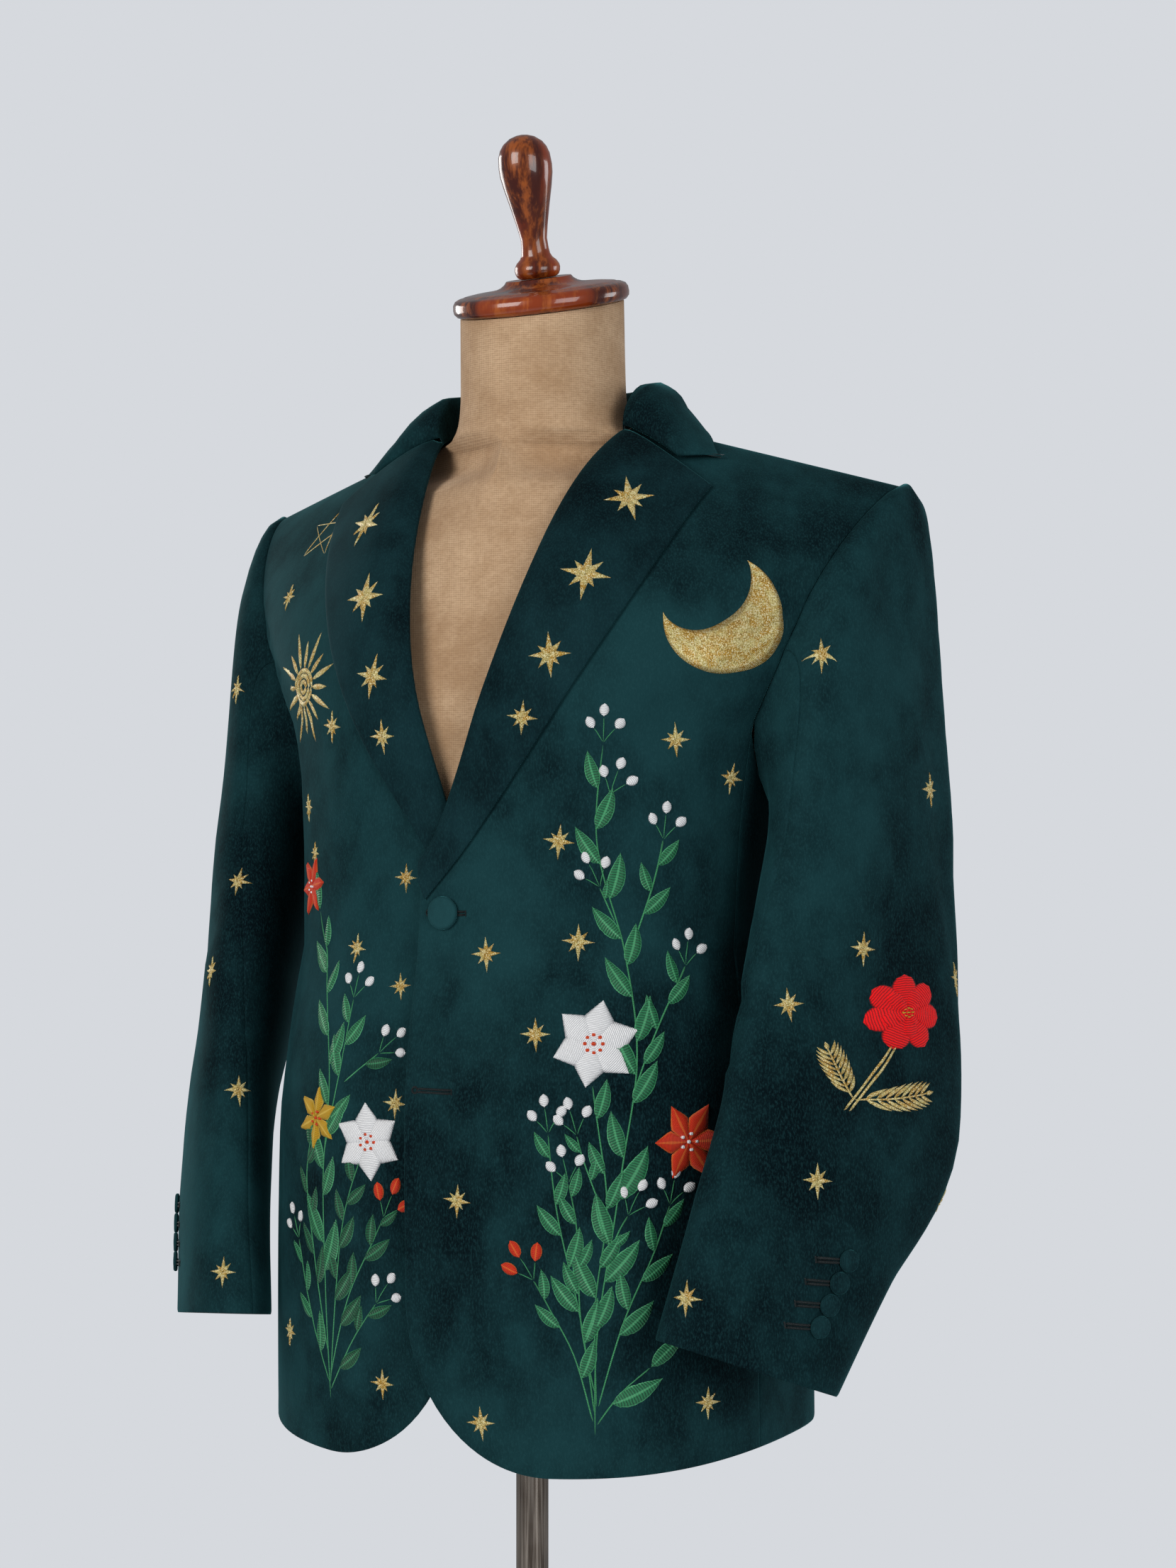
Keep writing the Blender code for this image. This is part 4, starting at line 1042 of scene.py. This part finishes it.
# Each star's place, radius and turn in degrees. The rest is in thousandths of a metre, of a lapel or of a sleeve's
# length, save that the first is in degrees round a sleeve.
STARS = {
    "lapel_left": [
        (640, 875, 19.5, 98), (660, 692, 19.5, 80), (715, 520, 16, 95), (755, 390, 12, 85)],
    "lapel_right": [
        (388, 830, 18.5, 84), (430, 640, 19, 97), (410, 468, 16, 82), (300, 348, 12, 92)],
    "front_left": [
        (153, 1250, 11.5, 92), (176, 1224, 11, 80), (84, 1181, 12, 84), (98, 1113, 12.5, 88), (36, 1104, 12, 95),
        (76, 1051, 11.5, 92), (24, 937, 11.5, 86), (40, 787, 11.5, 94), (175, 795, 11, 88)],
    "front_right": [
        (-35, 1155, 10, 90), (-75, 1105, 10.5, 84), (-34, 1081, 9.5, 96), (-31, 1000, 10.5, 88), (-41, 805, 10.5, 90),
        (-138, 826, 10, 85), (-180, 1359, 10.5, 92), (-104, 1261, 11.5, 86), (-139, 1203, 10, 90),
        (-128, 1170, 8.5, 88)],
    "sleeve_left": [
        (88, 145, 12, 90), (20, 513, 11.5, 84), (59, 594, 11.5, 95), (11, 792, 12, 86), (66, 948, 12, 92),
        (335, 330, 12, 88), (290, 520, 12, 82), (275, 740, 11.5, 94)],
    "sleeve_right": [
        (84, 192, 11, 90), (102, 455, 11, 84), (60, 580, 11.5, 96), (94, 777, 11.5, 88), (72, 955, 11, 92),
        (350, 360, 12, 86), (300, 620, 12, 90)]}

# Stems in millimetres across and up: their leaves' length and spacing, the points they run through, and what they
# end in and are stitched with, where that is not white buds and leaf thread.
STEMS = {
    "front_left": [
        (36, 24, [(116, 780), (118, 850), (130, 940), (138, 1030), (126, 1105), (108, 1180), (112, 1248)]),
        (26, 18, [(137, 1010), (148, 1060), (157, 1096)]),
        (24, 18, [(127, 1100), (139, 1148), (145, 1182)]),
        (12, 30, [(108, 1190), (112, 1203), (116, 1213)]),
        (14, 30, [(120, 1125), (114, 1140), (110, 1150)]),
        (32, 24, [(117, 800), (117, 870), (124, 940), (114, 1018)], "none"),
        (28, 22, [(116, 795), (108, 860), (94, 930), (88, 985)]),
        (24, 20, [(116, 810), (108, 860), (106, 920), (101, 952)]),
        (18, 20, [(119, 940), (110, 968), (106, 984)]),
        (18, 20, [(122, 895), (131, 920), (136, 930)]),
        (26, 26, [(115, 790), (104, 835), (88, 868), (78, 886)], "orange"),
        (30, 22, [(118, 800), (134, 860), (150, 905), (158, 936)]),
        (34, 30, [(117, 788), (132, 810), (148, 826)], "leaf")],
    "front_right": [
        (34, 22, [(-87, 788), (-91, 860), (-93, 940), (-88, 1010), (-102, 1080), (-118, 1130)], "leaf"),
        (28, 20, [(-87, 800), (-80, 870), (-72, 920), (-58, 960)], "none", "deep_leaf"),
        (26, 20, [(-89, 820), (-102, 880), (-112, 940), (-104, 980)], "none", "deep_leaf"),
        (26, 18, [(-87, 805), (-70, 860), (-50, 900), (-40, 920)], "orange", "deep_leaf"),
        (30, 20, [(-92, 960), (-78, 1020), (-71, 1070)]),
        (22, 20, [(-76, 1010), (-56, 1026), (-46, 1034)], "white", "deep_leaf"),
        (24, 18, [(-87, 795), (-64, 835), (-46, 860)], "white", "deep_leaf"),
        (26, 18, [(-88, 800), (-110, 850), (-126, 896)])]}

# In metres: across, up, radius, thread, turn in degrees, a petal's width as a share of its length, heart and its knots.
FLOWERS = {
    "front_left": [(0.113, 1.045, 0.030, "white", 78, 0.84, "orange", 9),
                   (0.166, 0.978, 0.028, "orange", 60, 0.62, "white", 6)],
    "front_right": [(-0.052, 0.972, 0.027, "white", 96, 0.80, "orange", 8),
                    (-0.100, 0.985, 0.023, "yellow", 84, 0.58, "orange", 6),
                    (-0.131, 1.146, 0.022, "orange", 70, 0.60, "white", 6)]}


def stitch_sun(work, lay):
    for ray in range(16):
        heading = pi / 8 * ray
        work.blade(lay, *off(heading, 0.013), heading, 0.030 if ray % 2 else 0.021, 0.0060, "gold", rows=6, columns=2)
    for radius in (0.004, 0.0085, 0.0125):
        work.blade(lay, radius, 0.0, pi / 2, 2 * pi * radius, 0.0046, "gold", "line", bend=2 * pi, rows=24, columns=2,
                   rise=0.0010)


def stitch_open_star(work, lay):
    tips = [off(radians(90 + 144 * ray), 0.028) for ray in range(6)]
    for ends in zip(tips, tips[1:]):
        work.line(lay, ends, 0.0011, "gold", rows=6)


def stitch_rosette(work, lay):
    """Three rings of red petals, on two gold stalks with a gold leaf to each side."""
    for radius, petals, wide in ((0.0262, 7, 0.78), (0.0170, 5, 0.84), (0.0095, 4, 0.90)):
        for petal in range(petals):
            work.blade(lay, 0, 0, 2 * pi * petal / petals + radius * 60, radius, radius * wide, "red", "round_petal",
                       rows=10, rise=0.0010 + (0.0245 - radius) * 0.07 + 0.0002 * (petal % 2))
    work.knots(lay, 9, 0.0030, 0.0026, "yellow", 0.0030, columns=2)
    for beside in (-0.0013, 0.0013):
        stalk = [(across + beside, up) for across, up in ((-0.009, -0.020), (-0.020, -0.040), (-0.034, -0.066))]
        work.line(lay, stalk, 0.0017, "gold", rise=0.0009)
    work.feather(lay, -0.031, -0.058, radians(112), 0.040)
    work.feather(lay, -0.030, -0.058, radians(8), 0.042)


def make_embroidery():
    works = {name: Stitching(f"embroidery_{name}") for name in SURFACES}
    for surface, stars in STARS.items():
        for a, b, radius, turn in stars:
            a = round_share(surface, a) if surface.startswith("sleeve") else a / 1000
            works[surface].star(spot(surface, a, b / 1000), radius / 1000, turn)
    for surface, stems in STEMS.items():
        for leaf, every, points, *rest in stems:
            works[surface].spray(surface, in_metres(points), leaf / 1000, every / 1000, *rest)
    for surface, flowers in FLOWERS.items():
        for across, up, *rest in flowers:
            works[surface].flower(spot(surface, across, up), *rest)
    works["front_left"].blade(spot("front_left", 0.1800, 1.330), -0.043, 0.007, radians(-74), 0.134, 0.036, "gold",
                              "moon", bend=radians(212), rows=60, columns=12, rise=0.0011, edge=0.0003)
    stitch_sun(works["front_right"], spot("front_right", -0.141, 1.290))
    stitch_open_star(works["front_right"], spot("front_right", -0.158, 1.408))
    stitch_rosette(works["sleeve_left"], spot("sleeve_left", 348 / 360, 0.579, wide=1.35))
    bpy.context.view_layer.update()
    return {name: work.finish([piece for node, piece in panels.items()
                               if node.replace("_top", "").replace("_under", "") == name])
            for name, work in works.items()}


draw = random.Random(29)
embroidery = make_embroidery()


# ---- Turned pieces, buttons and buttonholes ----

BUTTONS = {"upper": (0.011556, 0.0046), "lower": (0.011556, 0.0030), "cuff": (0.0075, 0.0034)}   # radius and height
BUTTON_OUTLINE = ((0, 0.0), (0.78, 0.0), (0.96, 0.16), (1.0, 0.40), (0.975, 0.66), (0.90, 0.86), (0.80, 0.93),
                  (0.70, 0.88), (0.60, 0.90), (0.40, 0.97), (0.20, 0.995), (0, 1.0))   # shares of those two
BUTTON_LIFT = 0.0002     # a button's foot, above the cloth
HOLE_EYE = 0.0021        # radius of the round eye that a buttonhole starts with


def turned(name, outline, foot, axis, steps, finish, node, slot):
    """An outline of radii and heights, turned round an axis."""
    mesh = bmesh.new()
    loop = [mesh.verts.new((radius, 0, height)) for radius, height in outline]
    edges = [mesh.edges.new(pair) for pair in zip(loop, loop[1:])]
    if outline[0][0] > 0:
        edges.append(mesh.edges.new((loop[-1], loop[0])))
    bmesh.ops.spin(mesh, geom=loop + edges, cent=(0, 0, 0), axis=(0, 0, 1), angle=2 * pi, steps=steps, use_merge=True)
    bmesh.ops.remove_doubles(mesh, verts=mesh.verts, dist=1e-6)
    bmesh.ops.recalc_face_normals(mesh, faces=mesh.faces)
    if mesh.calc_volume(signed=True) < 0:
        bmesh.ops.reverse_faces(mesh, faces=mesh.faces)
    lean = Vector((0, 0, 1)).rotation_difference(axis).to_matrix().to_4x4()
    bmesh.ops.transform(mesh, matrix=Matrix.Translation(foot) @ lean, verts=mesh.verts)
    return piece_from(mesh, name, [finish], node, slot)


def covered_button(node, point, normal, kind):
    """A button covered in velvet: a rolled rim, a groove inside it and a domed face."""
    radius, height = BUTTONS[kind]
    turned(f"covered_{node}", [(radius * r, height * h) for r, h in BUTTON_OUTLINE], point + normal * BUTTON_LIFT,
           normal, 36, lit_button_velvet, node, "velvet")


def buttonhole(work, lay, x, heading, length):
    """A stitched slot with a keyhole eye at its start and a bar at its end."""
    def at(ahead, aside):
        return off(heading + pi / 2, aside, *off(heading, ahead, x))
    for hand in (1, -1):
        work.line(lay, [at(0.002, 0.0011 * hand), at(length, 0.0011 * hand)], 0.0021, "dark", rise=0.0013, rows=8)
    work.blade(lay, x + HOLE_EYE, 0.0, heading + pi / 2, 2 * pi * HOLE_EYE, 0.0020, "dark", "line", bend=2 * pi,
               rows=12, columns=2, rise=0.0010)
    work.line(lay, [at(length, -0.0022), at(length, 0.0022)], 0.0013, "dark", rise=0.0011, rows=3)


def make_buttons():
    """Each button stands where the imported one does, on the finer cloth."""
    holes = Stitching("buttonholes")
    for node in [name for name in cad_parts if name.startswith("button")]:
        kind = node.split("_")[-1]
        if kind in BUTTONS:
            low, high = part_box(node)
            middle = (low + high) / 2
            place = SURFACES["front_left" if kind == "upper" else "front_right"][0]
            covered_button(node, place(middle.x, middle.z), Vector((0, -1, 0.02)).normalized(), kind)
            buttonhole(holes, spot("front_left", middle.x, middle.z), -0.012, 0.0, 0.029)
            continue
        surface = "sleeve_left" if "left" in node else "sleeve_right"
        place, share = SURFACES[surface][0], round_share(surface, CUFF_BUTTON_ROUND)
        along = 1 - (CUFF_BUTTON_RISE + (int(kind) - 1) * CUFF_BUTTON_STEP) / SLEEVE_LENGTH
        covered_button(node, place(share, along), normal_of(place, share, along), "cuff")
        hand = -1 if "left" in node else 1
        buttonhole(holes, spot(surface, share, along), hand * 0.004, 0.12 if hand > 0 else pi - 0.12, 0.019)
    return holes.finish()


make_buttons()


# ---- The form, its cap and its stand ----

FORM_SEAMS = (0.0, 0.62, 1.75, pi - 0.62, pi)   # turns from the front centre, in radians, on both sides
SEAM_DEPTH, SEAM_SPREAD = 0.0011, 0.05
CAP = ((0, 0), (59.5, 0), (62.5, 1.0), (64.6, 3.4), (65.0, 6.2), (64.6, 9.8), (63.0, 12.4), (60.0, 13.8), (58.0, 13.9),
       (56.0, 14.8), (50.0, 15.6), (40.0, 16.2), (32.0, 17.2), (28.5, 18.4), (25.6, 20.4), (24.0, 22.5), (0, 22.5))
FINIAL = ((0, 0), (13.0, 0), (15.2, 1.4), (16.4, 3.8), (16.8, 6.5), (16.3, 9.0), (14.6, 11.8), (12.0, 14.2),
          (10.6, 17.0), (10.0, 21.0), (9.6, 28.0), (11.2, 37.0), (14.0, 50.0), (17.5, 65.0), (19.2, 74.0), (19.5, 80.0),
          (18.8, 88.0), (17.0, 93.0), (14.2, 97.0), (9.0, 100.8), (4.0, 102.4), (0, 102.8))
BASE = ((0, 0), (187, 0), (189.2, 0.8), (190, 3.0), (190, 8.4), (189, 11.2), (186.8, 13.2), (184, 14), (0, 14))
SOCKET = ((12.05, 0), (29.4, 0), (30.0, 0.8), (30.0, 5.0), (29.0, 6.6), (23.0, 8.8), (19.6, 11.2), (18.6, 14.0),
          (17.8, 44.0), (17.0, 46.8), (15.6, 48.0), (12.05, 48.0))
POLE = ((0, 0), (11.75, 0), (11.75, 845.4), (0, 845.4))


def make_form():
    """The canvas form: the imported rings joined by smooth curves, with seams sewn in."""
    around, heights = 96, 90
    low, high = FORM.rows[0][0], FORM.rows[-1][0]
    mesh = bmesh.new()
    bmesh.ops.create_cone(mesh, cap_ends=True, segments=around, radius1=1, radius2=1, depth=1)
    sides = [e for e in mesh.edges if abs(e.verts[0].co.z - e.verts[1].co.z) > 0.5]
    bmesh.ops.subdivide_edges(mesh, edges=sides, cuts=heights - 1, use_grid_fill=True)
    for vertex in mesh.verts:
        x, y, share = vertex.co.x, vertex.co.y, vertex.co.z + 0.5
        level = low + (high - low) * share ** 0.8
        row = FORM.at(level)
        seam = min(abs(abs(atan2(x, -y)) - turn) for turn in FORM_SEAMS)
        groove = SEAM_DEPTH * max(0.0, 1 - seam / SEAM_SPREAD) ** 2 if 0.02 < share < 0.98 else 0.0
        depth = row.front if y < 0 else row.back
        across = (row.half_width - groove) * signed_power(x, 2 / row.square)
        behind = (depth - groove) * signed_power(y, 2 / row.square)
        vertex.co = (across, row.middle + behind, level + row.tilt * behind)
    piece_from(mesh, "canvas_form", [canvas], "form_torso", "canvas")


def make_turned_pieces():
    """The lacquered neck cap with its stepped rim, the turned finial on it, and the stand."""
    up, neck_axis = Vector((0, 0, 1)), NECK_AXIS.normalized()
    cap_foot, base_top = NECK_TOP + neck_axis * GAP * 1.5, up * (BASE_HEIGHT + GAP)
    finial_foot = cap_foot + neck_axis * (CAP_THICKNESS + GAP)
    for name, outline, foot, axis, steps, finish, node, slot in (
            ("turned_cap", CAP, cap_foot, neck_axis, 72, wood, "neck_cap", "lacquered_wood"),
            ("turned_finial", FINIAL, finial_foot, neck_axis, 72, wood, "finial", "lacquered_wood"),
            ("weighted_base", BASE, Vector(), up, 120, painted, "base", "painted_base"),
            ("steel_socket", SOCKET, base_top, up, 72, steel, "pole_socket", "steel"),
            ("steel_pole", POLE, base_top, up, 72, steel, "pole", "steel")):
        piece = turned(name, in_metres(outline), foot, axis, steps, finish, node, slot)
        piece.data.set_sharp_from_angle(angle=radians(38))


make_form()
make_turned_pieces()


# ---- The cloth's cut ----

CUTS = {  # width and length the piece was cut to, its flat area, how it is held and what it hangs on
    "front": (0.285, 0.880, 0.195, "draped", ("form_torso",)),
    "side": (0.160, 0.510, 0.060, "hung", ("front", "back")),
    "back": (0.325, 0.815, 0.187, "draped", ("form_torso",)),
    "lapel": (0.115, 0.400, 0.032, "folded", ("front",)),
    "sleeve_top": (0.355, 0.665, 0.142, "hung", ("front", "back")),
    "sleeve_under": (0.305, 0.585, 0.103, "hung", ("front", "back")),
    "collar": (0.150, 0.460, 0.052, "folded", ("back_left", "back_right"))}


def declare_cloth():
    """Looks up each sheet's cut, how it is held and what it rests on; nothing more is done with them."""
    for node, piece in panels.items():
        kind = node.removesuffix("_left").removesuffix("_right")
        width, length, area, held, on = CUTS[kind]
        rests = [panels.get(name + node.removeprefix(kind), name) for name in on]


declare_cloth()


# ---- Stage, light and camera ----

ROOM_LIGHT = 0.34
LIGHTS = (  # name, place, size, watts, colour
    ("key", (-0.9, -3.2, 2.3), 1.8, 74, (1.0, 0.99, 0.97)),
    ("fill", (3.2, -1.8, 1.7), 2.0, 52, (0.97, 0.99, 1.0)),
    ("rim_left", (2.4, 2.0, 1.9), 1.2, 20, (0.95, 0.98, 1.0)),
    ("rim_right", (-2.6, 0.8, 1.9), 1.2, 20, (1.0, 0.98, 0.95)))
LIT = (0, 0, 1.2)        # what the lamps point at
CAMERA_TURN, CAMERA_AWAY, CAMERA_HEIGHT = radians(29), 2.06, 1.22
PHOTO_WIDTH, PHOTO_HEIGHT = 1659, 2212
FOCAL_PIXELS = 3985
AXIS_PIXEL = 751         # where the form's axis stands in the photo, from its left edge


def make_floor():
    mesh = bmesh.new()
    bmesh.ops.create_circle(mesh, cap_ends=True, segments=96, radius=6.0)
    paint = Paint("floor_paper", Roughness=0.9)
    paint.feed("Base Color", paint.mix(paint.noise(60, 3.0), (226, 229, 233), (234, 237, 241)))
    away = paint.node("ShaderNodeVectorMath", {0: paint.place()}, output="Value", operation="LENGTH")
    blend = paint.node("ShaderNodeMixShader", {0: paint.ramp(away, 0.7, 2.4)})
    for end, shader in ((1, paint.shader.outputs[0]), (2, paint.node("ShaderNodeBsdfTransparent").socket)):
        paint.tree.links.new(shader, blend.socket.node.inputs[end])
    paint.tree.links.new(blend.socket, paint.tree.nodes["Material Output"].inputs["Surface"])
    object_from(mesh, "floor", [paint.material])


def make_world():
    """A pale backdrop, which lights the room less than it shows."""
    world = bpy.data.worlds.new("studio")
    world.use_nodes = True
    bpy.context.scene.world = world
    tree = world.node_tree
    shade = tree.nodes["Background"]
    shade.inputs["Color"].default_value = colour(214, 217, 222)
    rays, strength = tree.nodes.new("ShaderNodeLightPath"), tree.nodes.new("ShaderNodeMapRange")
    strength.inputs["To Min"].default_value, strength.inputs["To Max"].default_value = ROOM_LIGHT, 1.0
    tree.links.new(rays.outputs["Is Camera Ray"], strength.inputs["Value"])
    tree.links.new(strength.outputs[0], shade.inputs["Strength"])
    bpy.context.scene.view_settings.view_transform = "Standard"


def aimed(name, data, place, target):
    holder = linked(name, data)
    holder.location = place
    holder.rotation_euler = (Vector(target) - Vector(place)).to_track_quat("-Z", "Y").to_euler()
    return holder


def make_lights():
    for name, place, size, watts, tint in LIGHTS:
        lamp = bpy.data.lights.new(name, "AREA")
        lamp.size, lamp.energy, lamp.color = size, watts, tint
        aimed(name, lamp, place, LIT)


def make_camera():
    lens = bpy.data.cameras.new("camera")
    lens.sensor_fit, lens.sensor_height = "VERTICAL", 36
    lens.lens = FOCAL_PIXELS / PHOTO_HEIGHT * lens.sensor_height
    beside = (PHOTO_WIDTH / 2 - AXIS_PIXEL) / FOCAL_PIXELS * CAMERA_AWAY
    place = (sin(CAMERA_TURN) * CAMERA_AWAY, -cos(CAMERA_TURN) * CAMERA_AWAY, CAMERA_HEIGHT)
    target = (cos(CAMERA_TURN) * beside, sin(CAMERA_TURN) * beside, CAMERA_HEIGHT)
    bpy.context.scene.camera = aimed("camera", lens, place, target)


make_floor()
make_world()
make_lights()
make_camera()
